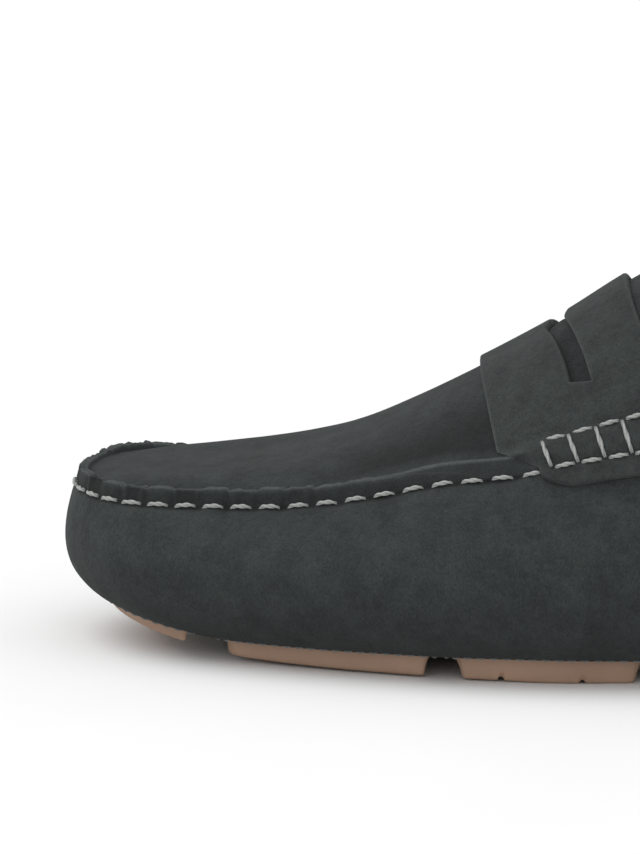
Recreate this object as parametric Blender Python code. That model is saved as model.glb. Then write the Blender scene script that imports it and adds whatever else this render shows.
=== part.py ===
"""A left driving loafer in suede, standing on the floor.

A wrapped upper with a sewn-in apron, a saddle strap with a slot, an insole, and a rubber sole whose pads
come out through windows in the underside of the wrap.

The toe is at -X and the heel at +X, the outer side of the foot is at -Y, and the floor is z = 0. Tables are
in millimetres. A station is a distance from the tip of the toe.
"""

import math
from collections import namedtuple

import bmesh
import bpy
import numpy as np

MM = 0.001
GAP = 0.3 * MM

# Driving sizes of the last and of the parts on it.
LENGTH = 290 * MM
WALL = 2.0 * MM
TURN_IN = 10.0 * MM
SIDE_LEAN = 1.8
ARCH_ROUNDNESS = 2.25
TOE_ROUNDNESS = 7.0
SHEET = 1.5 * MM
INSOLE = 3.0 * MM
SHEET_IN = 10.6 * MM
INSOLE_IN = 9.0 * MM
STRAP = 1.7 * MM

# How finely the last is cut.
RING = 88
SAMPLES = 400
NUDGE = 1e-3
LAST_APRON_ROW = 22
LOWER_ROWS = 4
UPPER_ROWS = 4
APRON_CELLS = 6
TONGUE_ROWS = 3
SLAB_CUTS = 34
SLAB_END_TURN = 0.10
SHARP_ANGLE = math.radians(40)

# The raised seam: how far its edges lie from the stitch line, and its height over that line on each side.
SEAM_STEPS = (0.7 * MM, 2.9 * MM, 4.0 * MM)
LINING_STEPS = (2.5 * MM, 5.0 * MM, 7.5 * MM)
OUTER_SEAM_TOP = 4.0 * MM
INNER_SEAM_TOP = 4.7 * MM

# Stations between which the raised seam dies away on each side, the inner one grows from the outer one's
# height, and the flat arch of the toe grows round.
Reach = namedtuple("Reach", "start end")
OUTER_FADE = Reach(62, 103)
INNER_FADE = Reach(17, 46)
INNER_GROWS = Reach(0, 12)
ARCH_GROWS = Reach(28, 76)

TONGUE_REACH = 12 * MM
TONGUE_NARROWS = 0.42
TONGUE_ROUNDS = 0.30
TONGUE_TAPER = 1.5
APRON_LEAST = 0.2 * MM

# The last at each station: half the width and the centre line of its widest line, the lift of its treads off
# the floor, how far the treads stand out of the wrap, the heights of its widest line and of its rim, the rim's
# lean inwards, and the outer and inner margins of the pads.
Section = namedtuple("Section", "at half centre lift stand belly rim inset margin_out margin_in")
SECTIONS = (
    Section(0, 0, 5.0, 10.4, 3.0, 23.8, 35.2, 2.2, 10.0, 10.0),
    Section(7, 21.6, 5.0, 8.9, 2.7, 23.4, 35.2, 4.6, 10.2, 10.4),
    Section(14, 28.6, 4.9, 7.0, 2.6, 23.0, 35.3, 6.8, 10.3, 11.2),
    Section(26, 34.7, 4.6, 3.9, 2.9, 22.6, 35.7, 9.2, 10.3, 12.0),
    Section(42, 40.0, 3.8, 1.3, 3.9, 22.2, 36.6, 11.2, 10.3, 12.0),
    Section(66, 45.8, 2.2, 0.6, 4.6, 22.0, 40.2, 13.2, 10.3, 12.0),
    Section(96, 50.0, 0.2, 0.4, 5.2, 22.0, 45.9, 14.0, 10.3, 12.5),
    Section(112, 49.6, -0.9, 0.0, 5.6, 22.0, 49.0, 13.2, 10.3, 15.5),
    Section(131, 47.0, -1.9, 0.0, 5.4, 22.0, 52.6, 11.8, 10.3, 18.0),
    Section(150, 43.6, -2.8, 0.5, 5.2, 22.0, 55.6, 10.6, 10.3, 18.5),
    Section(182, 38.8, -3.4, 0.9, 5.0, 22.5, 54.6, 9.5, 10.3, 17.0),
    Section(215, 36.6, -2.0, 0.0, 5.0, 24.0, 54.4, 9.0, 10.8, 13.5),
    Section(245, 35.0, 0.0, 0.0, 5.0, 26.0, 57.5, 8.5, 11.2, 12.0),
    Section(268, 29.0, 1.0, 0.8, 4.8, 27.0, 61.0, 8.0, 11.2, 11.5),
    Section(282, 20.2, 1.4, 4.0, 4.5, 28.0, 63.4, 7.5, 10.5, 10.5),
    Section(290, 0, 1.5, 6.5, 4.3, 28.0, 64.0, 7.0, 10.0, 10.0),
)

# The apron's middle line, from the seam at the toe to the end of the tongue.
Crest = namedtuple("Crest", "at height")
CRESTS = (
    Crest(0, 35.2),
    Crest(8, 38.3),
    Crest(22, 40.4),
    Crest(36, 41.9),
    Crest(50, 44.2),
    Crest(62, 47.6),
    Crest(77, 54.8),
    Crest(94, 63.8),
    Crest(112, 74.4),
    Crest(131, 87.2),
    Crest(146, 94.6),
    Crest(160, 98.6),
)

# Cuts across the instep: stations at the crest, beside the seam and at the far end of the cut, how late it
# bends away, and how far its corner is rounded off below the seam. Beside the seam, at these shares of the
# width, a cut steps from one station to the other.
Edge = namedtuple("Edge", "crest beside end bend corner")
STRAP_FRONT = Edge(94.4, 99.0, 107.4, 2.5, 7.5)
STRAP_REAR = Edge(127.4, 140.5, 140.5, 2.5, -6.0)
STEP_ASIDE = (0.88, 0.985)
STRAP_FLAP = 4.8 * MM
SLOT_FRONT = Edge(109.2, 114.9, 114.9, 1.0, 0.0)
SLOT_REAR = Edge(113.4, 119.2, 119.2, 1.3, 0.0)
SLOT_REACH = 0.70
STRAP_CELLS = 4
STRAP_CUTS = 26
FLAP_CUTS = 3
SLOT_CUTS = 12
SLOT_END = 0.998

# Rubber pads: stations of their ends, and their sides as shares of the width, from -1 at the outer margin
# to 1 at the inner margin, at the front and at the rear.
Pad = namedtuple("Pad", "name start end low_front high_front low_rear high_rear tread")
PADS = (
    Pad("ball_inner", 37.4, 83.6, 0.50, 1.00, 0.50, 1.00, "along"),
    Pad("ball_middle", 37.4, 83.6, -0.22, 0.22, -0.46, 0.28, "chevron"),
    Pad("ball_outer", 37.4, 83.6, -1.00, -0.52, -1.00, -0.69, "along"),
    Pad("joint_inner", 88.8, 131.5, 0.55, 1.00, 0.52, 1.00, "across"),
    Pad("joint_middle", 88.8, 131.5, -0.25, 0.32, -0.42, 0.20, "chevron"),
    Pad("joint_outer", 88.8, 131.5, -1.00, -0.48, -1.00, -0.67, "across"),
    Pad("waist_inner", 139, 178, 0.50, 1.00, 0.46, 1.00, "along"),
    Pad("waist_middle", 139, 178, -0.34, 0.22, -0.24, 0.18, "chevron"),
    Pad("waist_outer", 139, 178, -1.00, -0.60, -1.00, -0.52, "along"),
    Pad("heel_inner", 186, 222, 0.46, 1.00, 0.46, 1.00, "across"),
    Pad("heel_middle", 186, 222, -0.18, 0.18, -0.20, 0.20, "chevron"),
    Pad("heel_outer", 186, 222, -1.00, -0.46, -1.00, -0.46, "across"),
)
TOE_PAD_END = 29.4
HEEL_PAD_START = 231.0
PAD_CORNER = 2.6 * MM
PAD_BEVEL = 0.8 * MM
END_BEVEL = 0.2
CORNER_STEPS = (0.02 * MM, 0.8 * MM, PAD_CORNER)
PAD_CUTS = 3
ROUND_SHARES = (0.004, 0.03, 0.09, 0.19, 0.33, 0.5, 0.68, 0.84)
GROOVE_WIDTH = 1.5 * MM
GROOVE_DEPTH = 1.1 * MM
GROOVE_OVERRUN = 2.0 * MM
ALONG_SHARES = (1 / 3, 2 / 3)
ACROSS_SHARES = (0.25, 0.68)
ALONG_CUTS = 3
ARC_TURN = 1.5
ARC_CUTS = 30
ARC_GROOVES = (6.5 * MM, 12.5 * MM)
CHEVRON_APEXES = (0.08, 0.36, 0.64)
CHEVRON_SWEEP = 1.25

# Colour and roughness of each material.
Finish = namedtuple("Finish", "colour roughness")
SUEDE = Finish((0.042, 0.048, 0.048), 0.92)
RUBBER = Finish((0.36, 0.27, 0.20), 0.55)
LEATHER = Finish((0.42, 0.27, 0.15), 0.60)


def smooth(at, knots, values):
    """Values of a curve through the knots that never swings past them."""
    step = np.diff(knots)
    rise = np.diff(values) / step
    slope = np.zeros(len(knots))
    same = rise[:-1] * rise[1:] > 0
    first = np.where(same, rise[:-1], 1.0)
    second = np.where(same, rise[1:], 1.0)
    heavy = 2 * step[1:] + step[:-1]
    light = step[1:] + 2 * step[:-1]
    slope[1:-1] = np.where(same, (heavy + light) / (heavy / first + light / second), 0.0)
    slope[0] = rise[0]
    slope[-1] = rise[-1]
    cell = np.clip(np.searchsorted(knots, at) - 1, 0, len(knots) - 2)
    width = knots[cell + 1] - knots[cell]
    t = (at - knots[cell]) / width
    start = values[cell] * (1 + 2 * t) + width * slope[cell] * t
    end = values[cell + 1] * (3 - 2 * t) - width * slope[cell + 1] * (1 - t)
    return start * (1 - t) ** 2 + end * t**2


def turn_at(x):
    """The angle round the last, from 0 at the toe to pi at the heel, of a place along it."""
    return np.arccos(np.clip(-2 * np.asarray(x, float) / LENGTH, -1, 1))


def place(station):
    """The x of a station given in millimetres from the tip of the toe."""
    return station * MM - LENGTH / 2


STATIONS = np.array([row.at for row in SECTIONS], float)
KNOTS = turn_at(place(STATIONS))


def column(name, angle):
    """One column of SECTIONS, in metres, at angles round the last."""
    angle = np.asarray(angle, float)
    turn = np.abs((angle + math.pi) % (2 * math.pi) - math.pi)
    values = np.array([getattr(row, name) for row in SECTIONS], float) * MM
    sign = -1 if name == "half" else 1
    knots = np.concatenate([-KNOTS[2:0:-1], KNOTS, 2 * math.pi - KNOTS[-2:-4:-1]])
    values = np.concatenate([sign * values[2:0:-1], values, sign * values[-2:-4:-1]])
    return smooth(turn, knots, values)


def side_of(angle):
    """-1 on the outer side of the foot, and 1 on its inner side."""
    return np.where((np.asarray(angle) + math.pi) % (2 * math.pi) >= math.pi, -1.0, 1.0)


def middle_of_width():
    """How far the middle of the shoe's full width lies from its straight axis."""
    turn = np.linspace(0, math.pi, SAMPLES)
    inner = np.max(column("centre", turn) + column("half", turn))
    outer = np.min(column("centre", turn) - column("half", turn))
    return (inner + outer) / 2


MIDDLE = middle_of_width()


def outline(angle):
    """Plan points of the last's widest line. The outer side has angles 0 to pi, the inner side 0 to -pi."""
    x = -LENGTH / 2 * np.cos(angle)
    y = column("centre", angle) + side_of(angle) * column("half", angle) - MIDDLE
    return np.stack([x, y], axis=-1)


def inset_line(angle, inset):
    """The widest line moved in by an inset, square to itself."""
    angle = np.asarray(angle, float)
    along = outline(angle + NUDGE) - outline(angle - NUDGE)
    out = np.stack([along[..., 1], -along[..., 0]], axis=-1)
    out /= np.linalg.norm(out, axis=-1, keepdims=True)
    return outline(angle) - np.asarray(inset)[..., None] * out


def lift(x):
    """How far the treads stand off the floor at a place along the shoe."""
    return column("lift", turn_at(x))


def underside(x):
    """Height of the wrap's underside at a place along the shoe."""
    return lift(x) + column("stand", turn_at(x))


def raised(plan, height):
    """Plan points with a height over the floor."""
    height = np.broadcast_to(height, plan.shape[:-1])
    return np.concatenate([plan, height[..., None]], axis=-1)


def wall_point(angle, share):
    """A point of the wall: share 0 at the foot of the side, 1 at its widest line and 2 at the rim."""
    belly = column("belly", angle)
    if share <= 1:
        bend = share * math.pi / 2
        inset = np.full(np.shape(angle), TURN_IN * (1 - math.sin(bend)))
        floor = underside(inset_line(angle, np.full(np.shape(angle), TURN_IN))[..., 0])
        height = belly - (belly - floor) * math.cos(bend)
    else:
        climb = share - 1
        inset = column("inset", angle) * climb**SIDE_LEAN
        height = belly + (column("rim", angle) - belly) * climb
    return raised(inset_line(angle, inset), height)


RING_STEP = 2 * math.pi / RING
APRON_TURNS = np.linspace(0, LAST_APRON_ROW * RING_STEP, SAMPLES)
OUTER_SEAM = wall_point(APRON_TURNS, 2)
INNER_SEAM = wall_point(-APRON_TURNS, 2)


def crest(x):
    """Height of the apron's middle line."""
    knots = place(np.array([row.at for row in CRESTS], float))
    return smooth(x, knots, np.array([row.height for row in CRESTS], float) * MM)


def seam_sides(x):
    """The y of the seam on the outer and on the inner side of the foot."""
    outer = np.interp(x, OUTER_SEAM[:, 0], OUTER_SEAM[:, 1])
    inner = np.interp(x, INNER_SEAM[:, 0], INNER_SEAM[:, 1])
    return outer, inner


def eased(x, reach):
    """A smooth step from 0 at the first station of a reach to 1 at its last."""
    share = np.clip((x - place(reach.start)) / (place(reach.end) - place(reach.start)), 0, 1)
    return share * share * (3 - 2 * share)


def apron_height(plan):
    """Height of the arched apron over plan points inside its seam."""
    x, y = plan[..., 0], plan[..., 1]
    outer, inner = seam_sides(x)
    outer_rim = np.interp(x, OUTER_SEAM[:, 0], OUTER_SEAM[:, 2])
    inner_rim = np.interp(x, INNER_SEAM[:, 0], INNER_SEAM[:, 2])
    share = np.clip((y - outer) / np.maximum(inner - outer, APRON_LEAST), 0, 1)
    rise = crest(x) - (outer_rim + inner_rim) / 2
    roundness = TOE_ROUNDNESS + (ARCH_ROUNDNESS - TOE_ROUNDNESS) * eased(x, ARCH_GROWS)
    arch = 1 - np.abs(2 * share - 1) ** roundness
    return outer_rim + (inner_rim - outer_rim) * share + rise * arch


def seam_top(x, angle):
    """Height of the raised seam over the floor. It flattens out towards the strap."""
    outer = OUTER_SEAM_TOP * (1 - eased(x, OUTER_FADE))
    grown = OUTER_SEAM_TOP + (INNER_SEAM_TOP - OUTER_SEAM_TOP) * eased(x, INNER_GROWS)
    inner = grown * (1 - eased(x, INNER_FADE))
    return column("rim", angle) + np.where(angle >= 0, outer, inner)


class Skin:
    """One face of the upper's wall: points, faces and the edge of its opening."""

    def __init__(self, steps, seam):
        self.points = []
        self.faces = []
        self.steps = steps
        self.seam = seam
        self.underside_and_sides()
        self.apron()
        self.tongue()

    def add(self, point):
        """Keeps a point and returns its number."""
        self.points.append(tuple(float(value) for value in point))
        return len(self.points) - 1

    def strip(self, first, second):
        """Faces between two lines of as many points."""
        for i in range(len(first) - 1):
            corners = (first[i], first[i + 1], second[i + 1], second[i])
            self.faces.append(tuple(dict.fromkeys(corners)))

    def underside_and_sides(self):
        """The flat underside, in rows across it, and the sides, in rings up to the rim."""
        angles = np.arange(RING) * RING_STEP
        lower = np.linspace(0, 1, LOWER_ROWS + 1)
        upper = 1 + np.linspace(0, 1, UPPER_ROWS + 1)[1:]
        rings = []
        for share in (*lower, *upper):
            rings.append([self.add(point) for point in wall_point(angles, share)])
        for below, above in zip(rings, rings[1:]):
            self.strip([*below, below[0]], [*above, above[0]])
        foot = rings[0]
        rows = [[foot[0]] * 3]
        for k in range(1, RING // 2):
            pair = np.array([self.points[foot[k]], self.points[foot[-k]]])
            plan = pair[:, :2].mean(axis=0)
            centre = self.add(raised(plan, underside(plan[0])))
            rows.append([foot[k], centre, foot[-k]])
        rows.append([foot[RING // 2]] * 3)
        for front, rear in zip(rows, rows[1:]):
            self.strip(front, rear)
        self.rim = rings[-1]

    def apron(self):
        """The apron: lines that follow its seam, then rows across the middle."""
        turns = np.arange(-LAST_APRON_ROW, LAST_APRON_ROW + 1)
        angles = turns * RING_STEP
        lines = [[self.rim[k] for k in turns]]
        for number, step in enumerate(self.steps):
            plan = inset_line(angles, column("inset", angles) + step)
            height = apron_height(plan)
            if self.seam and number < len(self.steps) - 1:
                height = np.maximum(height, seam_top(plan[:, 0], angles))
            lines.append([self.add(point) for point in raised(plan, height)])
        for outer, inner in zip(lines, lines[1:]):
            self.strip(outer, inner)
        last = lines[-1]
        middle = LAST_APRON_ROW
        row = [last[middle]] * (APRON_CELLS + 1)
        for k in range(1, LAST_APRON_ROW + 1):
            ends = np.array([self.points[last[middle + k]], self.points[last[middle - k]]])
            shares = np.linspace(0, 1, APRON_CELLS + 1)[1:-1, None]
            plan = ends[0, :2] + (ends[1, :2] - ends[0, :2]) * shares
            inner = [self.add(point) for point in raised(plan, apron_height(plan))]
            following = [last[middle + k], *inner, last[middle - k]]
            self.strip(following, row)
            row = following
        outer_side = [line[-1] for line in lines[:-1]]
        inner_side = [line[0] for line in lines[:-1]]
        self.throat = [*outer_side, *row, *inner_side[::-1]]

    def tongue(self):
        """The apron's free end, narrowing to a rounded edge, and the edge of the whole opening."""
        base = np.array([self.points[k] for k in self.throat])
        middle = (base[0, 1] + base[-1, 1]) / 2
        across = (base[:, 1] - middle) / np.abs(base[0, 1] - middle)
        row = self.throat
        ends = []
        for number in range(1, TONGUE_ROWS + 1):
            share = number / TONGUE_ROWS
            plan = base[:, :2].copy()
            plan[:, 0] += TONGUE_REACH * share * (1 - TONGUE_ROUNDS * share * across**2)
            plan[:, 1] = middle + (plan[:, 1] - middle) * (1 - TONGUE_NARROWS * share**TONGUE_TAPER)
            following = [self.add(point) for point in raised(plan, apron_height(plan))]
            self.strip(following, row)
            row = following
            ends.append(row)
        collar = self.rim[LAST_APRON_ROW : RING - LAST_APRON_ROW + 1]
        inner_edge = [line[-1] for line in ends]
        outer_edge = [line[0] for line in ends[:-1]][::-1]
        self.edge = [*collar, *inner_edge, *row[-2::-1], *outer_edge]

    def normals(self):
        """Outward direction at each point, from the faces round it."""
        points = np.array(self.points)
        found = np.zeros_like(points)
        for face in self.faces:
            first, second, third = points[face[0]], points[face[1]], points[face[2]]
            square = np.cross(second - first, third - first)
            if len(face) == 4:
                square = square + np.cross(third - first, points[face[3]] - first)
            for corner in face:
                found[corner] += square
        return found / np.linalg.norm(found, axis=1, keepdims=True)


def shell(name):
    """The upper's wall: an outer skin with the raised seam, and a smooth skin inside it."""
    outside = Skin(SEAM_STEPS, seam=True)
    inside = Skin(LINING_STEPS, seam=False)
    shift = len(outside.points)
    lining = np.array(inside.points) - WALL * inside.normals()
    points = [*outside.points, *(tuple(point) for point in lining)]
    faces = [*outside.faces, *(tuple(k + shift for k in face[::-1]) for face in inside.faces)]
    outer_edge = outside.edge
    inner_edge = [k + shift for k in inside.edge]
    for i in range(len(outer_edge)):
        after = (i + 1) % len(outer_edge)
        faces.append((outer_edge[after], outer_edge[i], inner_edge[i], inner_edge[after]))
    return mesh_object(name, points, faces)


def mesh_object(name, points, faces):
    """An object from points and faces, cut into triangles with its faces turned outwards."""
    mesh = bpy.data.meshes.new(name)
    mesh.from_pydata([tuple(point) for point in points], [], faces)
    work = bmesh.new()
    work.from_mesh(mesh)
    bmesh.ops.remove_doubles(work, verts=work.verts, dist=1e-6)
    bmesh.ops.triangulate(work, faces=work.faces)
    bmesh.ops.recalc_face_normals(work, faces=work.faces)
    work.to_mesh(mesh)
    work.free()
    return bpy.data.objects.new(name, mesh)


def loft(name, sections):
    """A closed solid through sections with as many points each, capped at both ends."""
    count = len(sections[0])
    points = [point for section in sections for point in section]
    faces = [tuple(range(count))[::-1]]
    for i in range(len(sections) - 1):
        for k in range(count):
            after = (k + 1) % count
            faces.append((i * count + k, i * count + after, (i + 1) * count + after, (i + 1) * count + k))
    faces.append(tuple(range((len(sections) - 1) * count, len(sections) * count)))
    return mesh_object(name, points, faces)


def slab(name, inset, low, high):
    """A flat layer over the underside, between two heights above the wrap's outer face."""
    sections = []
    for turn in np.linspace(SLAB_END_TURN, math.pi - SLAB_END_TURN, SLAB_CUTS):
        plan = inset_line(np.array([turn, -turn]), np.array([inset, inset]))
        under = underside(plan[:, 0])
        bottom = raised(plan, under + low)
        top = raised(plan, under + high)
        sections.append([bottom[0], bottom[1], top[1], top[0]])
    return loft(name, sections)


MARGIN_TURNS = np.linspace(0, math.pi, SAMPLES)
OUTER_LINE = inset_line(MARGIN_TURNS, column("margin_out", MARGIN_TURNS))
INNER_LINE = inset_line(-MARGIN_TURNS, column("margin_in", MARGIN_TURNS))


def tread_y(x, share):
    """The y of a share of the tread's width, from -1 at the outer margin to 1 at the inner margin."""
    outer = np.interp(x, OUTER_LINE[:, 0], OUTER_LINE[:, 1])
    inner = np.interp(x, INNER_LINE[:, 0], INNER_LINE[:, 1])
    return outer + (inner - outer) * (share + 1) / 2


def pad_sides(pad, x):
    """The y of a pad's two sides."""
    start, end = place(pad.start), place(pad.end)
    along = np.clip((x - start) / (end - start), 0, 1)
    low = pad.low_front + (pad.low_rear - pad.low_front) * along
    high = pad.high_front + (pad.high_rear - pad.high_front) * along
    return tread_y(x, low), tread_y(x, high)


def corner_cut(x, start, end):
    """How far a rounded corner takes in the sides of a pad near its ends."""
    near = min(x - start, end - x)
    if near >= PAD_CORNER:
        return 0.0
    return PAD_CORNER - math.sqrt(max(PAD_CORNER**2 - (PAD_CORNER - near) ** 2, 0.0))


def pad_head(x):
    """Height of the top of a pad, inside the sheet."""
    return underside(x) + WALL + GAP + SHEET / 2


def window_foot(x):
    """Height of the lower end of a window's cutter, below the wrap."""
    return underside(x) - WALL


def window_head(x):
    """Height of the upper end of a window's cutter, over the wrap."""
    return underside(x) + 2 * WALL


# Blocks of a pad's shape: how far they are grown, their lower and upper heights, and the bevel of their edges.
Block = namedtuple("Block", "grow foot head bevel")
TREAD = Block(0.0, lift, pad_head, PAD_BEVEL)
WINDOW = Block(GAP, window_foot, window_head, 0.0)


def block_section(x, sides, foot, head, bevel):
    """A section of a pad across the shoe, bevelled at its lower corners."""
    low, high = sides
    inner = [(x, high - bevel, foot), (x, high, foot + bevel), (x, high, head)]
    outer = [(x, low, head), (x, low, foot + bevel), (x, low + bevel, foot)]
    return [*outer, *inner]


def block(name, stations, sides, kind):
    """A pad through its stations, bevelled at its two ends as well."""
    sections = []
    for number, x in enumerate(stations):
        at_end = number in (0, len(stations) - 1)
        edge = END_BEVEL * kind.bevel if at_end else kind.bevel
        foot = kind.foot(x) + (kind.bevel if at_end else 0.0)
        sections.append(block_section(x, sides(x), foot, kind.head(x), edge))
    return loft(name, sections)


def pad_block(name, pad, kind):
    """One of the four-sided pads, grown by a clearance where it is a cutter."""
    grow = kind.grow
    start, end = place(pad.start) - grow, place(pad.end) + grow

    def sides(x):
        low, high = pad_sides(pad, x)
        cut = corner_cut(x, start, end)
        return low - grow + cut, high + grow - cut

    ends = np.array(CORNER_STEPS)
    inner = np.linspace(start + PAD_CORNER, end - PAD_CORNER, PAD_CUTS + 1)[1:-1]
    return block(name, [*(start + ends), *inner, *(end - ends[::-1])], sides, kind)


def round_block(name, toe, kind):
    """The round pad at the toe, or the one at the heel, which follow the margin round the end."""
    grow = kind.grow
    tip = OUTER_LINE[0 if toe else -1, 0] + (-grow if toe else grow)
    straight = place(TOE_PAD_END) + grow if toe else place(HEEL_PAD_START) - grow
    reach = straight - tip
    corners = straight - math.copysign(1, reach) * np.array(CORNER_STEPS)
    curve = tip + reach * np.array(ROUND_SHARES)
    stations = [x for x in curve if abs(straight - x) > PAD_CORNER + PAD_BEVEL]

    def sides(x):
        near = abs(x - tip) + GAP
        shrunk = x + math.copysign(min(grow, near), reach)
        cut = corner_cut(x, *sorted((straight, tip - reach)))
        return tread_y(shrunk, -1) - grow + cut, tread_y(shrunk, 1) + grow - cut

    ordered = sorted([*stations, *corners])
    return block(name, ordered, sides, kind)


def groove(name, path):
    """A cutter for a groove in the tread along a plan path."""
    path = np.asarray(path, float)
    along = np.gradient(path, axis=0)
    along /= np.linalg.norm(along, axis=1, keepdims=True)
    aside = np.stack([-along[:, 1], along[:, 0]], axis=1) * GROOVE_WIDTH / 2
    sections = []
    for point, half in zip(path, aside):
        floor = lift(point[0])
        low, high = floor - GROOVE_DEPTH, floor + GROOVE_DEPTH
        left, right = point + half, point - half
        sections.append([(*left, low), (*right, low), (*right, high), (*left, high)])
    return loft(name, sections)


def pad_grooves(pad):
    """Plan paths of the grooves in a four-sided pad."""
    start, end = place(pad.start), place(pad.end)
    if pad.tread == "along":
        xs = np.linspace(start - GROOVE_OVERRUN, end + GROOVE_OVERRUN, ALONG_CUTS + 1)
        for share in ALONG_SHARES:
            sides = [pad_sides(pad, x) for x in xs]
            yield [(x, low + (high - low) * share) for x, (low, high) in zip(xs, sides)]
    elif pad.tread == "across":
        for share in ACROSS_SHARES:
            x = start + (end - start) * share
            low, high = pad_sides(pad, x)
            yield [(x, low - GROOVE_OVERRUN), (x, high + GROOVE_OVERRUN)]
    else:
        for share in CHEVRON_APEXES:
            x = start + (end - start) * share
            low, high = pad_sides(pad, x)
            middle = (low + high) / 2
            arm = (high - low) / 2 + GROOVE_OVERRUN
            rear = x + arm * CHEVRON_SWEEP
            yield [(rear, middle - arm), (x, middle), (rear, middle + arm)]


def arc_grooves(toe):
    """Plan paths of the curved grooves in the round pads."""
    straight = place(TOE_PAD_END) if toe else place(HEEL_PAD_START)
    for step in ARC_GROOVES:
        angles = np.linspace(-ARC_TURN, ARC_TURN, ARC_CUTS + 1) + (0 if toe else math.pi)
        path = inset_line(angles, column("margin_out", angles) + step)
        over = GROOVE_OVERRUN if toe else -GROOVE_OVERRUN
        inside = path[:, 0] < straight + over if toe else path[:, 0] > straight + over
        yield path[inside]


def flap_share():
    """The strap's flap below the seam, as a share of the height of the side."""
    turn = float(turn_at(place((STRAP_FRONT.end + STRAP_REAR.end) / 2)))
    side = wall_point(np.array([turn]), 2)[0] - wall_point(np.array([turn]), 1.5)[0]
    return STRAP_FLAP / (2 * np.linalg.norm(side))


FLAP_SHARE = flap_share()


def saddle_point(edges, along, across):
    """A point of the upper's outer face in a band over the instep.

    along runs from 0 at the band's front edge to 1 at its rear edge. across runs from -1 at the outer end of
    the band to 1 at its inner end, as a share of the apron's half width, and past 1 it goes down the side by
    that many wall heights.
    """
    front, rear, reach = edges
    share = min(abs(across), 1.0)
    below = max(abs(across) - 1, 0.0) / FLAP_SHARE
    start, end = STEP_ASIDE
    aside = min(max((share - start) / (end - start), 0.0), 1.0)
    stations = []
    for edge in (front, rear):
        bent = edge.crest + (edge.beside - edge.crest) * share**edge.bend
        stations.append(bent + (edge.end - edge.beside) * aside + edge.corner * below**2)
    x = place(stations[0] + (stations[1] - stations[0]) * along)
    outer, inner = seam_sides(x)
    if abs(across) <= 1:
        y = (outer + inner) / 2 + across * reach * (inner - outer) / 2
        plan = np.array([x, y])
        return raised(plan, apron_height(plan))
    seam = INNER_SEAM if across > 0 else OUTER_SEAM
    turn = np.interp(x, seam[:, 0], APRON_TURNS) * (-1 if across > 0 else 1)
    return wall_point(np.array(turn), 2 - (abs(across) - 1))


def band(name, edges, shares, low, high):
    """A curved slab over the instep, between two distances from the upper's outer face."""
    sections = []
    for across in shares:
        inner, outer = [], []
        for along in np.linspace(0, 1, STRAP_CELLS + 1):
            point = saddle_point(edges, along, across)
            ahead = saddle_point(edges, along + NUDGE, across) - saddle_point(edges, along - NUDGE, across)
            aside = saddle_point(edges, along, across + NUDGE) - saddle_point(edges, along, across - NUDGE)
            up = np.cross(ahead, aside)
            up /= np.linalg.norm(up)
            inner.append(point + low * up)
            outer.append(point + high * up)
        sections.append([*inner, *outer[::-1]])
    return loft(name, sections)


def finish(obj, look):
    """Gives an object its own material and smooth shading."""
    material = bpy.data.materials.new(obj.name)
    material.use_nodes = True
    shader = material.node_tree.nodes["Principled BSDF"]
    shader.inputs["Base Color"].default_value = (*look.colour, 1.0)
    shader.inputs["Roughness"].default_value = look.roughness
    shader.inputs["Metallic"].default_value = 0.0
    obj.data.materials.append(material)
    obj.data.shade_smooth()
    obj.data.set_sharp_from_angle(angle=SHARP_ANGLE)


def new_collection(name, parent):
    """A collection inside another."""
    collection = bpy.data.collections.new(name)
    parent.children.link(collection)
    return collection


def helper(obj, collection):
    """Keeps a cutter, or a block that is joined to another, out of the object itself."""
    obj.hide_render = True
    obj.display_type = "WIRE"
    collection.objects.link(obj)


def combine(obj, name, operation, collection):
    """Joins a collection of helpers to an object, or cuts them from it."""
    modifier = obj.modifiers.new(name, "BOOLEAN")
    modifier.operation = operation
    modifier.operand_type = "COLLECTION"
    modifier.collection = collection
    modifier.solver = "EXACT"


def clear_scene():
    """Removes what the startup scene holds."""
    for obj in list(bpy.data.objects):
        bpy.data.objects.remove(obj, do_unlink=True)


def make_pads(blocks, windows, grooves):
    """The pads, the windows that they come through, and the grooves of their tread."""
    for pad in PADS:
        helper(pad_block(f"pad_{pad.name}", pad, TREAD), blocks)
        helper(pad_block(f"window_{pad.name}", pad, WINDOW), windows)
        for number, path in enumerate(pad_grooves(pad)):
            helper(groove(f"groove_{pad.name}_{number}", path), grooves)
    for toe, name in ((True, "toe"), (False, "heel_end")):
        helper(round_block(f"pad_{name}", toe, TREAD), blocks)
        helper(round_block(f"window_{name}", toe, WINDOW), windows)
        for number, path in enumerate(arc_grooves(toe)):
            helper(groove(f"groove_{name}_{number}", path), grooves)


def make_strap(slots):
    """The saddle strap with its slot."""
    sides = np.linspace(1, 1 + FLAP_SHARE, FLAP_CUTS + 1)[1:]
    top = np.sin(np.linspace(-math.pi / 2, math.pi / 2, STRAP_CUTS + 1))
    shares = [*(-sides[::-1]), *top, *sides]
    strap = band("strap", (STRAP_FRONT, STRAP_REAR, 1.0), shares, GAP, GAP + STRAP)
    cutter = band(
        "slot",
        (SLOT_FRONT, SLOT_REAR, SLOT_REACH),
        np.linspace(-SLOT_END, SLOT_END, SLOT_CUTS + 1),
        -STRAP,
        3 * STRAP,
    )
    helper(cutter, slots)
    combine(strap, "slot", "DIFFERENCE", slots)
    return strap


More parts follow.
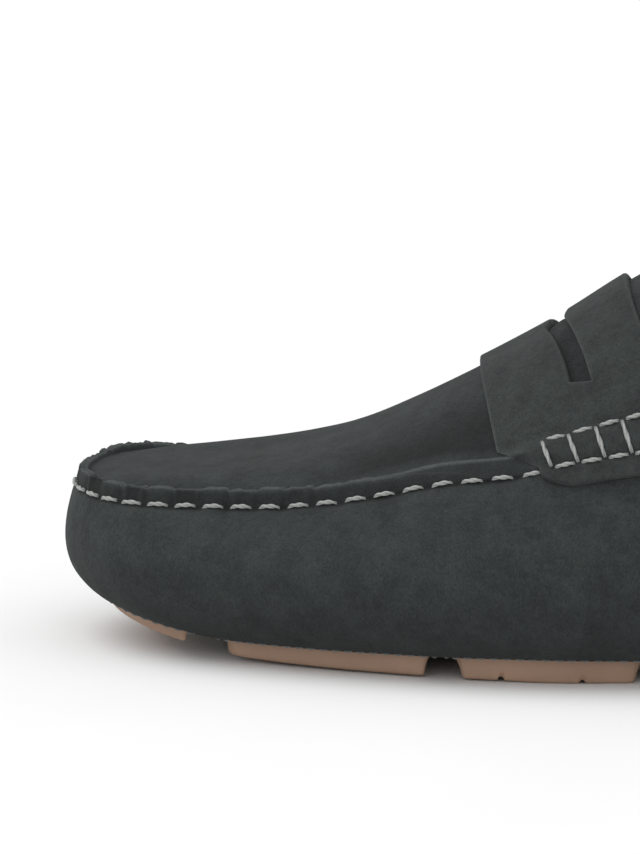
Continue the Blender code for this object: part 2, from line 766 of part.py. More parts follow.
def main():
    """Builds the four parts of the loafer."""
    clear_scene()
    root = bpy.context.scene.collection
    parts = new_collection("loafer", root)
    cutters = new_collection("cutters", root)
    blocks, windows, grooves, slots = (
        new_collection(name, cutters) for name in ("pads", "windows", "grooves", "slots")
    )
    make_pads(blocks, windows, grooves)
    upper = shell("upper")
    combine(upper, "windows", "DIFFERENCE", windows)
    sheet_low = WALL + GAP
    sole = slab("sole", SHEET_IN, sheet_low, sheet_low + SHEET)
    combine(sole, "pads", "UNION", blocks)
    combine(sole, "grooves", "DIFFERENCE", grooves)
    insole_low = sheet_low + SHEET + GAP
    insole = slab("insole", INSOLE_IN, insole_low, insole_low + INSOLE)
    strap = make_strap(slots)
    for obj, look in ((upper, SUEDE), (sole, RUBBER), (insole, LEATHER), (strap, SUEDE)):
        finish(obj, look)
        parts.objects.link(obj)


if __name__ == "__main__":
    main()
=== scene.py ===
"""The looks of a left driving loafer in charcoal suede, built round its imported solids.

The toe is at -X and the heel at +X, the outer side of the foot is at -Y, and the floor is z = 0. Tables are
in millimetres and the rest is in metres. A station is a distance in millimetres from the tip of the toe.
"""

import logging
import math
from dataclasses import dataclass, field
from enum import Enum
from functools import cached_property
from typing import Any, ClassVar, Iterator

import bpy
import numpy as np
from mathutils import Matrix, Vector
from mathutils.geometry import delaunay_2d_cdt
from mathutils.kdtree import KDTree


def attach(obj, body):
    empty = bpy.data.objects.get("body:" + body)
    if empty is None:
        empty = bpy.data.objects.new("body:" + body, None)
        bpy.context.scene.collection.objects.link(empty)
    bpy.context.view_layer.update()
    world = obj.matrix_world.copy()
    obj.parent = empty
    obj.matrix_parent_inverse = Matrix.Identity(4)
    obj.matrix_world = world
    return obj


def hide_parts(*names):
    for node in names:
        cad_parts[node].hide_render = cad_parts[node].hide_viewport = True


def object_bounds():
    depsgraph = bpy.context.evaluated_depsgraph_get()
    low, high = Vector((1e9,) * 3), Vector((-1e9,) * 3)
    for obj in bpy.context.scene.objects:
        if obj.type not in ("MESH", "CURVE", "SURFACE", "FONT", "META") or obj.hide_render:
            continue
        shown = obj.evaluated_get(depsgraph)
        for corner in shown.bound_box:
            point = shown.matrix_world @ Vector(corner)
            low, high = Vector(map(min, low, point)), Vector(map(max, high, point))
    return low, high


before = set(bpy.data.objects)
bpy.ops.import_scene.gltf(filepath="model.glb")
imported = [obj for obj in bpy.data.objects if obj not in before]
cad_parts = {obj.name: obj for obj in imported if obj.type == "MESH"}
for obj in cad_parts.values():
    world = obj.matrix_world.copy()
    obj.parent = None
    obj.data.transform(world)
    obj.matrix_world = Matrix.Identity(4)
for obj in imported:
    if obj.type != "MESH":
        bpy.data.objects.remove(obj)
CAD_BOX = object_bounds()

MM = 0.001
GAP = 0.3 * MM
BODY = "root"
Array = np.ndarray
Pair = tuple[Array, Array]
Span = tuple[float, float]
Steps = tuple[float, ...]
Colour = tuple[float, float, float]
Faces = list[tuple[int, ...]]
Material = bpy.types.Material
NodeTree = bpy.types.NodeTree
Piece = bpy.types.Object
Socket = bpy.types.NodeSocket
log = logging.getLogger("loafer")


@dataclass(frozen=True)
class Section:
    """The last at a station: widest line, underside, rim, and margins of the pads."""

    at: float
    half: float
    centre: float
    lift: float
    stand: float
    belly: float
    rim: float
    inset: float
    margin_out: float
    margin_in: float


@dataclass(frozen=True)
class Crest:
    """Height of the apron's middle line at a station."""

    at: float
    height: float


SECTIONS = (
    Section(0, 0, 5.0, 10.4, 3.0, 23.8, 35.2, 2.2, 10.0, 10.0),
    Section(7, 21.6, 5.0, 8.9, 2.7, 23.4, 35.2, 4.6, 10.2, 10.4),
    Section(14, 28.6, 4.9, 7.0, 2.6, 23.0, 35.3, 6.8, 10.3, 11.2),
    Section(26, 34.7, 4.6, 3.9, 2.9, 22.6, 35.7, 9.2, 10.3, 12.0),
    Section(42, 40.0, 3.8, 1.3, 3.9, 22.2, 36.6, 11.2, 10.3, 12.0),
    Section(66, 45.8, 2.2, 0.6, 4.6, 22.0, 40.2, 13.2, 10.3, 12.0),
    Section(96, 50.0, 0.2, 0.4, 5.2, 22.0, 45.9, 14.0, 10.3, 12.5),
    Section(112, 49.6, -0.9, 0.0, 5.6, 22.0, 49.0, 13.2, 10.3, 15.5),
    Section(131, 47.0, -1.9, 0.0, 5.4, 22.0, 52.6, 11.8, 10.3, 18.0),
    Section(150, 43.6, -2.8, 0.5, 5.2, 22.0, 55.6, 10.6, 10.3, 18.5),
    Section(182, 38.8, -3.4, 0.9, 5.0, 22.5, 54.6, 9.5, 10.3, 17.0),
    Section(215, 36.6, -2.0, 0.0, 5.0, 24.0, 54.4, 9.0, 10.8, 13.5),
    Section(245, 35.0, 0.0, 0.0, 5.0, 26.0, 57.5, 8.5, 11.2, 12.0),
    Section(268, 29.0, 1.0, 0.8, 4.8, 27.0, 61.0, 8.0, 11.2, 11.5),
    Section(282, 20.2, 1.4, 4.0, 4.5, 28.0, 63.4, 7.5, 10.5, 10.5),
    Section(290, 0, 1.5, 6.5, 4.3, 28.0, 64.0, 7.0, 10.0, 10.0),
)
CRESTS = (
    Crest(0, 35.2),
    Crest(8, 38.3),
    Crest(22, 40.4),
    Crest(36, 41.9),
    Crest(50, 44.2),
    Crest(62, 47.6),
    Crest(77, 54.8),
    Crest(94, 63.8),
    Crest(112, 74.4),
    Crest(131, 87.2),
    Crest(146, 94.6),
    Crest(160, 98.6),
)


def curve_through(at: Array, knots: Array, values: Array) -> Array:
    """A curve through knots that never swings past them.

    Args:
        at: Where to read the curve.
        knots: Rising places of the knots.
        values: The curve's values at the knots.

    Returns:
        The values of the curve.
    """
    step = np.diff(knots)
    rise = np.diff(values) / step
    slope = np.zeros(len(knots))
    same = rise[:-1] * rise[1:] > 0
    first = np.where(same, rise[:-1], 1.0)
    second = np.where(same, rise[1:], 1.0)
    heavy = 2 * step[1:] + step[:-1]
    light = step[1:] + 2 * step[:-1]
    slope[1:-1] = np.where(same, (heavy + light) / (heavy / first + light / second), 0.0)
    slope[0] = rise[0]
    slope[-1] = rise[-1]
    cell = np.clip(np.searchsorted(knots, at) - 1, 0, len(knots) - 2)
    width = knots[cell + 1] - knots[cell]
    t = (at - knots[cell]) / width
    start = values[cell] * (1 + 2 * t) + width * slope[cell] * t
    end = values[cell + 1] * (3 - 2 * t) - width * slope[cell + 1] * (1 - t)
    return start * (1 - t) ** 2 + end * t**2


def ease(value: Array, low: float, high: float) -> Array:
    """A smooth step from 0 at low to 1 at high."""
    share = np.clip((value - low) / (high - low), 0, 1)
    return share * share * (3 - 2 * share)


def bell(distance: Array, width: float) -> Array:
    """A soft hump, 1 at distance 0."""
    return np.exp(-((distance / width) ** 2))


def unit(vectors: Array) -> Array:
    """Vectors of length 1."""
    return vectors / np.maximum(np.linalg.norm(vectors, axis=-1, keepdims=True), 1e-12)


def raised(plan: Array, height: Array) -> Array:
    """Plan points with a height over the floor."""
    height = np.broadcast_to(height, plan.shape[:-1])
    return np.concatenate([plan, height[..., None]], axis=-1)


def run_along(line: Array) -> Array:
    """Distances along a line of points, from its start."""
    return np.concatenate([[0], np.cumsum(np.linalg.norm(np.diff(line, axis=0), axis=1))])


@dataclass(frozen=True)
class Last:
    """The form that the shoe is made on, worked out from its sections."""

    length: float
    turn_in: float = 10 * MM
    side_lean: float = 1.8
    arch_roundness: float = 2.25
    toe_roundness: float = 7.0
    arch_grows: Span = (28, 76)
    apron_least: float = 0.2 * MM
    wave_at: float = 81
    wave_reach: float = 13
    wave_rise: float = 1.3 * MM
    nudge: float = 1e-3
    samples: int = 400
    fine_samples: int = 4000

    def place(self, station: Array) -> Array:
        """The x of a station."""
        return station * MM - self.length / 2

    def station(self, x: Array) -> Array:
        """The station of an x."""
        return (x + self.length / 2) / MM

    def turn_at(self, x: Array) -> Array:
        """The angle round the last, from 0 at the toe to pi at the heel, of a place along it."""
        return np.arccos(np.clip(-2 * np.asarray(x, float) / self.length, -1, 1))

    def column(self, name: str, angle: Array) -> Array:
        """One column of the sections, in metres.

        Args:
            name: The column.
            angle: Angles round the last.

        Returns:
            The column's values at the angles.
        """
        knots = self.turn_at(self.place(np.array([row.at for row in SECTIONS], float)))
        values = np.array([getattr(row, name) for row in SECTIONS], float) * MM
        sign = -1 if name == "half" else 1
        knots = np.concatenate([-knots[2:0:-1], knots, 2 * math.pi - knots[-2:-4:-1]])
        values = np.concatenate([sign * values[2:0:-1], values, sign * values[-2:-4:-1]])
        turn = np.abs((np.asarray(angle, float) + math.pi) % (2 * math.pi) - math.pi)
        return curve_through(turn, knots, values)

    @cached_property
    def middle(self) -> float:
        """How far the middle of the full width lies from the straight axis."""
        turn = np.linspace(0, math.pi, self.samples)
        inner = np.max(self.column("centre", turn) + self.column("half", turn))
        outer = np.min(self.column("centre", turn) - self.column("half", turn))
        return float(inner + outer) / 2

    def outline(self, angle: Array) -> Array:
        """Plan points of the widest line: the outer side has angles 0 to pi, the inner side 0 to -pi."""
        angle = np.asarray(angle, float)
        side = np.where((angle + math.pi) % (2 * math.pi) >= math.pi, -1.0, 1.0)
        x = -self.length / 2 * np.cos(angle)
        y = self.column("centre", angle) + side * self.column("half", angle) - self.middle
        return np.stack([x, y], axis=-1)

    def station_at(self, angle: Array) -> Array:
        """The station of an angle round the last."""
        return self.station(self.outline(angle)[..., 0])

    def rim(self, angle: Array) -> Array:
        """Height of the rim, with the soft wave that its outer side has over the ball of the foot."""
        angle = np.asarray(angle, float)
        outer = (angle + math.pi) % (2 * math.pi) >= math.pi
        wave = self.wave_rise * bell(self.station_at(angle) - self.wave_at, self.wave_reach)
        return self.column("rim", angle) + np.where(outer, wave, 0)

    def inset_line(self, angle: Array, inset: Array) -> Array:
        """The widest line moved in by an inset, square to itself."""
        angle = np.asarray(angle, float)
        along = self.outline(angle + self.nudge) - self.outline(angle - self.nudge)
        out = unit(np.stack([along[..., 1], -along[..., 0]], axis=-1))
        return self.outline(angle) - np.asarray(inset)[..., None] * out

    def lift(self, x: Array) -> Array:
        """How far the treads stand off the floor."""
        return self.column("lift", self.turn_at(x))

    def base(self, x: Array) -> Array:
        """Height of the wrap's underside, which the treads stand out of."""
        return self.lift(x) + self.column("stand", self.turn_at(x))

    def wall(self, angle: Array, share: Array) -> Array:
        """Points of the wall.

        Args:
            angle: Angles round the last.
            share: 0 at the foot of the side, 1 at its widest line and 2 at the rim.

        Returns:
            Points of the wall's outer face.
        """
        angle, share = np.broadcast_arrays(np.asarray(angle, float), np.asarray(share, float))
        belly = self.column("belly", angle)
        bend = np.clip(share, 0, 1) * math.pi / 2
        climb = np.clip(share - 1, 0, 1)
        foot = self.inset_line(angle, np.full(angle.shape, self.turn_in))
        floor = self.base(foot[..., 0])
        inset = self.turn_in * (1 - np.sin(bend)) + self.column("inset", angle) * climb**self.side_lean
        height = belly - (belly - floor) * np.cos(bend) + (self.rim(angle) - belly) * climb
        return raised(self.inset_line(angle, inset), height)

    def side_height(self, angle: Array) -> Array:
        """Height of the side from its widest line to the rim."""
        return self.wall(angle, 2)[:, 2] - self.wall(angle, 1)[:, 2]

    def wall_frame(self, angle: Array, share: Array) -> tuple[Array, Array, Array]:
        """Points of the wall with their directions along it and out of it."""
        point = self.wall(angle, share)
        along = self.wall(angle + self.nudge, share) - self.wall(angle - self.nudge, share)
        up = point - self.wall(angle, share - self.nudge)
        return point, unit(along), unit(np.cross(along, up))

    @cached_property
    def apron_turns(self) -> Array:
        """Angles from the toe to the throat."""
        return np.linspace(0, math.pi / 2, self.samples)

    @cached_property
    def seams(self) -> Pair:
        """The seam on the outer and on the inner side of the foot."""
        return self.wall(self.apron_turns, 2), self.wall(-self.apron_turns, 2)

    def seam_sides(self, x: Array) -> Pair:
        """The y of the seam on the outer and on the inner side."""
        outer, inner = (np.interp(x, seam[:, 0], seam[:, 1]) for seam in self.seams)
        return outer, inner

    def aside(self, plan: Array) -> Array:
        """How far plan points lie from the apron's middle, as shares of its half width."""
        outer, inner = self.seam_sides(plan[:, 0])
        wide = np.maximum(inner - outer, self.apron_least)
        return np.abs(2 * (plan[:, 1] - outer) / wide - 1)

    def crest(self, x: Array) -> Array:
        """Height of the apron's middle line."""
        knots = self.place(np.array([row.at for row in CRESTS], float))
        return curve_through(x, knots, np.array([row.height for row in CRESTS], float) * MM)

    def apron_height(self, plan: Array) -> Array:
        """Height of the arched apron over plan points inside its seam."""
        x, y = plan[..., 0], plan[..., 1]
        outer, inner = self.seam_sides(x)
        outer_rim, inner_rim = (np.interp(x, seam[:, 0], seam[:, 2]) for seam in self.seams)
        share = np.clip((y - outer) / np.maximum(inner - outer, self.apron_least), 0, 1)
        rise = self.crest(x) - (outer_rim + inner_rim) / 2
        grown_round = ease(self.station(x), *self.arch_grows)
        roundness = self.toe_roundness + (self.arch_roundness - self.toe_roundness) * grown_round
        arch = 1 - np.abs(2 * share - 1) ** roundness
        return outer_rim + (inner_rim - outer_rim) * share + rise * arch

    def even_turns(self, front: int, rear: int) -> Array:
        """Angles from the toe to the heel, evenly spaced along the outline.

        Args:
            front: How many steps lie ahead of the throat.
            rear: How many steps lie behind it.

        Returns:
            The angles, with one at the throat.
        """
        fine = np.linspace(0, math.pi, self.fine_samples)
        steps = sum(np.linalg.norm(np.diff(self.outline(way * fine), axis=0), axis=1) for way in (1, -1))
        run = np.concatenate([[0], np.cumsum(steps)])
        throat = np.interp(math.pi / 2, fine, run)
        ahead = np.interp(np.linspace(0, throat, front + 1), run, fine)
        behind = np.interp(np.linspace(throat, run[-1], rear + 1), run, fine)
        return np.concatenate([ahead, behind[1:]])

    @cached_property
    def outline_tree(self) -> tuple[KDTree, Array, Array]:
        """The widest line as a search tree, with its angles and points."""
        angles = np.linspace(-math.pi, math.pi, 2 * self.fine_samples)
        line = self.outline(angles)
        tree = KDTree(len(line))
        for number, (x, y) in enumerate(line):
            tree.insert((x, y, 0), number)
        tree.balance()
        return tree, angles, line

    def underside(self, plan: Array) -> Pair:
        """The underside and the turn of the sides over plan points.

        Args:
            plan: Plan points inside the widest line.

        Returns:
            Points of the outer face and their outward directions.
        """
        tree, angles, line = self.outline_tree
        near = np.array([tree.find((x, y, 0))[1] for x, y in plan])
        out = line[near] - plan
        inset = np.linalg.norm(out, axis=1)
        turned = np.clip(1 - inset / self.turn_in, 0, 0.999)
        foot = self.inset_line(angles[near], np.full(len(near), self.turn_in))
        floor = self.base(np.where(turned > 0, foot[:, 0], plan[:, 0]))
        drop = self.column("belly", angles[near]) - floor
        round_part = np.sqrt(1 - turned**2)
        slope = drop / self.turn_in * turned / round_part
        normal = np.concatenate([unit(out) * slope[:, None], np.full((len(near), 1), -1.0)], axis=1)
        return raised(plan, floor + drop * (1 - round_part)), unit(normal)


LAST = Last(length=round(CAD_BOX[1].x - CAD_BOX[0].x, 4))


def resampled(loop: Array, step: float) -> Array:
    """A closed plan loop with points at even steps."""
    closed = np.concatenate([loop, loop[:1]])
    run = run_along(closed)
    places = np.linspace(0, run[-1], max(int(run[-1] / step), 8) + 1)[:-1]
    return np.stack([np.interp(places, run, closed[:, k]) for k in (0, 1)], axis=1)


def grid_over(loop: Array, step: float) -> Array:
    """Even plan points over the box round a loop."""
    low, high = loop.min(axis=0), loop.max(axis=0)
    xs, ys = np.meshgrid(np.arange(low[0], high[0], step), np.arange(low[1], high[1], step))
    return np.stack([xs.ravel(), ys.ravel()], axis=1)


def grown(loop: Array, by: float) -> Array:
    """A closed plan loop that runs anticlockwise, moved outwards."""
    along = np.roll(loop, -1, axis=0) - np.roll(loop, 1, axis=0)
    return loop + by * unit(np.stack([along[:, 1], -along[:, 0]], axis=1))


def line_distance(points: Array, line: Array, closed: bool = False) -> Array:
    """Distances of plan points from a line of straight pieces."""
    starts = line if closed else line[:-1]
    ends = np.roll(line, -1, axis=0) if closed else line[1:]
    best = np.full(len(points), np.inf)
    for start, end in zip(starts, ends):
        way = end - start
        share = np.clip((points - start) @ way / max(way @ way, 1e-18), 0, 1)
        best = np.minimum(best, np.linalg.norm(points - start - share[:, None] * way, axis=1))
    return best


def is_inside(points: Array, loop: Array) -> Array:
    """Which plan points lie inside a closed loop."""
    found = np.zeros(len(points), bool)
    for (x0, y0), (x1, y1) in zip(loop, np.roll(loop, -1, axis=0)):
        if y0 == y1:
            continue
        crosses = (y0 > points[:, 1]) != (y1 > points[:, 1])
        found ^= crosses & (points[:, 0] < (x1 - x0) * (points[:, 1] - y0) / (y1 - y0) + x0)
    return found


def triangulated(loops: list[Array], extra: Array) -> tuple[Array, Faces, dict[int, int]]:
    """Triangles of a plan region.

    Args:
        loops: The closed boundary, then the holes in it.
        extra: More points inside the region.

    Returns:
        Plan points, triangles seen anticlockwise, and the number of the point made from each given one.
    """
    edges = []
    start = 0
    for loop in loops:
        edges += [(start + k, start + (k + 1) % len(loop)) for k in range(len(loop))]
        start += len(loop)
    given = [Vector(point) for point in np.concatenate([*loops, extra])]
    verts, _, faces, origins, _, _ = delaunay_2d_cdt(given, edges, [], 0, 1e-8)
    points = np.array([tuple(vert) for vert in verts])
    corners = np.array([tuple(face) for face in faces])
    centres = points[corners].mean(axis=1)
    kept = is_inside(centres, loops[0])
    for hole in loops[1:]:
        kept &= ~is_inside(centres, hole)
    made_from = {source: number for number, sources in enumerate(origins) for source in sources}
    return points, [tuple(int(k) for k in face) for face in corners[kept]], made_from


def placed(name: str, data: Any) -> Piece:
    """A new object in the scene."""
    thing = bpy.data.objects.new(name, data)
    bpy.context.scene.collection.objects.link(thing)
    return thing


class Body:
    """Points, faces and marks of a mesh while it is being made."""

    def __init__(self, marks: tuple[str, ...] = ()) -> None:
        """An empty body with named marks on its points."""
        self.points: list[tuple[float, float, float]] = []
        self.faces: Faces = []
        self.slots: list[int] = []
        self.marks: dict[str, list[float]] = {name: [] for name in marks}

    def add(self, points: Array, **marks: Array) -> list[int]:
        """Keeps points with their marks and returns their numbers."""
        points = np.asarray(points, float).reshape(-1, 3)
        start = len(self.points)
        self.points.extend(map(tuple, points.tolist()))
        for name, kept in self.marks.items():
            kept.extend(np.broadcast_to(marks.get(name, 0.0), len(points)).tolist())
        return list(range(start, len(self.points)))

    def face(self, corners: tuple[int, ...], slot: int = 0) -> None:
        """Keeps a face, without corners that repeat."""
        corners = tuple(dict.fromkeys(corners))
        if len(corners) > 2:
            self.faces.append(corners)
            self.slots.append(slot)

    def strip(self, first: list[int], second: list[int], closed: bool = False) -> None:
        """Faces between two lines of as many points."""
        if closed:
            first, second = [*first, first[0]], [*second, second[0]]
        for k in range(len(first) - 1):
            self.face((first[k], first[k + 1], second[k + 1], second[k]))

    def normals(self) -> Array:
        """Outward directions at the points, from the faces round them."""
        points = np.array(self.points)
        found = np.zeros_like(points)
        for size in (3, 4):
            corners = np.array([face for face in self.faces if len(face) == size], int).reshape(-1, size)
            first, second, third, last = (points[corners[:, k]] for k in (0, 1, 2, -1))
            ways = (second - first, third - first) if size == 3 else (third - first, last - second)
            square = np.cross(*ways)
            for k in range(size):
                np.add.at(found, corners[:, k], square)
        return unit(found)

    def to_object(self, name: str, materials: list[Material], sharp: float = math.radians(50)) -> Piece:
        """Makes the object.

        Args:
            name: The piece's name.
            materials: Its materials, in the order of the faces' slots.
            sharp: Edges that turn by more than this stay sharp.

        Returns:
            The object, at the origin.
        """
        mesh = bpy.data.meshes.new(name)
        mesh.from_pydata(self.points, [], self.faces)
        for material in materials:
            mesh.materials.append(material)
        mesh.polygons.foreach_set("material_index", self.slots)
        for mark, values in self.marks.items():
            mesh.attributes.new(mark, "FLOAT", "POINT").data.foreach_set("value", values)
        mesh.shade_smooth()
        mesh.set_sharp_from_angle(angle=sharp)
        mesh.update()
        return placed(name, mesh)


class Tread(Enum):
    """How the grooves of a pad run."""

    ALONG = "along"
    ACROSS = "across"
    CHEVRON = "chevron"
    ARC = "arc"


@dataclass(frozen=True)
class Pad:
    """A rubber pad between two stations, with its sides as shares of the tread's width.

    A round pad, at the toe or the heel, has only its straight edge and follows the margin.
    """

    name: str
    start: float
    end: float
    low_front: float = -1.0
    high_front: float = 1.0
    low_rear: float = -1.0
    high_rear: float = 1.0
    tread: Tread = Tread.ARC

    corner: ClassVar[float] = 2.6 * MM
    overrun: ClassVar[float] = 2.0 * MM
    loop_step: ClassVar[float] = 0.55 * MM
    groove_step: ClassVar[float] = 0.7 * MM
    along_shares: ClassVar[Span] = (1 / 3, 2 / 3)
    across_shares: ClassVar[Span] = (0.25, 0.68)
    arc_grooves: ClassVar[Span] = (6.5 * MM, 12.5 * MM)
    chevron_apexes: ClassVar[Steps] = (0.08, 0.36, 0.64)
    chevron_sweep: ClassVar[float] = 1.25

    @cached_property
    def margins(self) -> Pair:
        """The outer and inner margins of the tread, from the toe to the heel."""
        turns = np.linspace(0, math.pi, LAST.samples)
        outer = LAST.inset_line(turns, LAST.column("margin_out", turns))
        return outer, LAST.inset_line(-turns, LAST.column("margin_in", turns))

    def sides(self, x: Array) -> Pair:
        """The y of the pad's two sides."""
        start, end = LAST.place(self.start), LAST.place(self.end)
        share = np.clip((x - start) / (end - start), 0, 1)
        outer, inner = (np.interp(x, line[:, 0], line[:, 1]) for line in self.margins)
        low = self.low_front + (self.low_rear - self.low_front) * share
        high = self.high_front + (self.high_rear - self.high_front) * share
        return outer + (inner - outer) * (low + 1) / 2, outer + (inner - outer) * (high + 1) / 2

    @cached_property
    def loop(self) -> Array:
        """The pad's outline with rounded corners, anticlockwise."""
        start, end = LAST.place(self.start), LAST.place(self.end)
        bend = np.linspace(0, math.pi / 2, 9)
        taken = self.corner * (1 - np.cos(bend))
        between = np.linspace(start + self.corner, end - self.corner, 14)[1:-1]
        xs = np.concatenate([start + taken, between, end - taken[::-1]])
        if self.tread is Tread.ARC:
            straight_first = self.start > 0
            run = np.linspace(0, 1, 60) ** 2
            tip = self.margins[0][-1 if straight_first else 0, 0]
            straight = start if straight_first else end
            xs = np.sort(tip + (straight - tip) * run)
            near = np.abs(straight - xs)
        else:
            near = np.minimum(xs - start, end - xs)
        near = np.clip(near, 0, self.corner)
        cut = self.corner - np.sqrt(np.maximum(self.corner**2 - (self.corner - near) ** 2, 0))
        low, high = self.sides(xs)
        lower = np.stack([xs, low + cut], axis=1)
        upper = np.stack([xs, high - cut], axis=1)
        return resampled(np.concatenate([lower, upper[::-1]]), self.loop_step)

    def grooves(self) -> Iterator[Array]:
        """Plan lines of the grooves."""
        start, end = LAST.place(self.start), LAST.place(self.end)
        if self.tread is Tread.ALONG:
            xs = np.linspace(start - self.overrun, end + self.overrun, 12)
            low, high = self.sides(xs)
            for share in self.along_shares:
                yield np.stack([xs, low + (high - low) * share], axis=1)
        elif self.tread is Tread.ACROSS:
            for x in start + (end - start) * np.array(self.across_shares):
                low, high = self.sides(x)
                yield np.array([(x, low - self.overrun), (x, high + self.overrun)])
        elif self.tread is Tread.CHEVRON:
            for x in start + (end - start) * np.array(self.chevron_apexes):
                low, high = self.sides(x)
                arm = (high - low) / 2 + self.overrun
                rear = x + arm * self.chevron_sweep
                middle = (low + high) / 2
                yield np.array([(rear, middle - arm), (x, middle), (rear, middle + arm)])
        else:
            middle = 0.0 if start < 0 else math.pi
            for step in self.arc_grooves:
                angles = np.linspace(-1.5, 1.5, 91) + middle
                line = LAST.inset_line(angles, LAST.column("margin_out", angles) + step)
                yield line[(line[:, 0] > start - self.overrun) & (line[:, 0] < end + self.overrun)]


PADS = (
    Pad("toe", 0, 29.4),
    Pad("ball_inner", 37.4, 83.6, 0.50, 1.00, 0.50, 1.00, Tread.ALONG),
    Pad("ball_middle", 37.4, 83.6, -0.22, 0.22, -0.46, 0.28, Tread.CHEVRON),
    Pad("ball_outer", 37.4, 83.6, -1.00, -0.52, -1.00, -0.69, Tread.ALONG),
    Pad("joint_inner", 88.8, 131.5, 0.55, 1.00, 0.52, 1.00, Tread.ACROSS),
    Pad("joint_middle", 88.8, 131.5, -0.25, 0.32, -0.42, 0.20, Tread.CHEVRON),
    Pad("joint_outer", 88.8, 131.5, -1.00, -0.48, -1.00, -0.67, Tread.ACROSS),
    Pad("waist_inner", 139, 178, 0.50, 1.00, 0.46, 1.00, Tread.ALONG),
    Pad("waist_middle", 139, 178, -0.34, 0.22, -0.24, 0.18, Tread.CHEVRON),
    Pad("waist_outer", 139, 178, -1.00, -0.60, -1.00, -0.52, Tread.ALONG),
    Pad("heel_inner", 186, 222, 0.46, 1.00, 0.46, 1.00, Tread.ACROSS),
    Pad("heel_middle", 186, 222, -0.18, 0.18, -0.20, 0.20, Tread.CHEVRON),
    Pad("heel_outer", 186, 222, -1.00, -0.46, -1.00, -0.46, Tread.ACROSS),
    Pad("heel_end", 231, 290),
)


@dataclass(frozen=True)
class RidgeRow:
    """A line of the raised seam: its step in from the stitch line and its share of the height.

    Then come how raw it is and how much painted shade it gets where the seam stands up, and where it lies
    flat.
    """

    step: float
    rise: float
    raw: float
    shade: float
    flat_raw: float
    flat_shade: float


RIDGE_ROWS = (
    RidgeRow(0.12, 0.10, 0.0, 1.0, 0.0, 1.0),
    RidgeRow(0.25, 0.34, 0.0, 1.0, 0.0, 1.0),
    RidgeRow(0.38, 0.62, 0.1, 1.0, 0.0, 1.0),
    RidgeRow(0.55, 0.85, 0.4, 0.9, 0.0, 1.0),
    RidgeRow(0.85, 0.97, 1.0, 0.3, 0.0, 1.0),
    RidgeRow(1.30, 1.00, 0.9, 0.1, 0.0, 1.0),
    RidgeRow(1.75, 0.93, 0.4, 0.3, 0.0, 1.0),
    RidgeRow(2.20, 1.00, 0.9, 0.1, 0.0, 0.9),
    RidgeRow(2.60, 0.95, 1.0, 0.0, 0.8, 0.3),
    RidgeRow(2.85, 0.76, 0.5, 0.0, 1.0, 0.0),
    RidgeRow(3.00, 0.48, 0.1, 0.0, 0.3, 0.2),
    RidgeRow(3.20, 0.22, 0.0, 0.2, 0.0, 0.5),
    RidgeRow(3.70, 0.04, 0.0, 0.1, 0.0, 0.2),
    RidgeRow(4.80, -0.03, 0.0, 0.0, 0.0, 0.0),
    RidgeRow(6.40, -0.02, 0.0, 0.0, 0.0, 0.0),
    RidgeRow(8.50, 0.00, 0.0, 0.0, 0.0, 0.0),
)


@dataclass(frozen=True)
class Crease:
    """A soft trough in the wall of one side, between two stations and heights."""

    side: int
    start: Span
    end: Span
    width: float
    depth: float


CREASES = (
    Crease(1, (33, 30), (46, 19), 3.0, 0.35),
    Crease(1, (60, 27), (88, 16), 5.0, 0.35),
    Crease(1, (98, 40), (118, 24), 5.0, 0.40),
    Crease(1, (126, 42), (150, 22), 6.0, 0.40),
    Crease(-1, (40, 30), (52, 19), 3.5, 0.35),
    Crease(-1, (84, 34), (112, 20), 5.5, 0.40),
    Crease(-1, (128, 40), (156, 24), 6.0, 0.40),
)


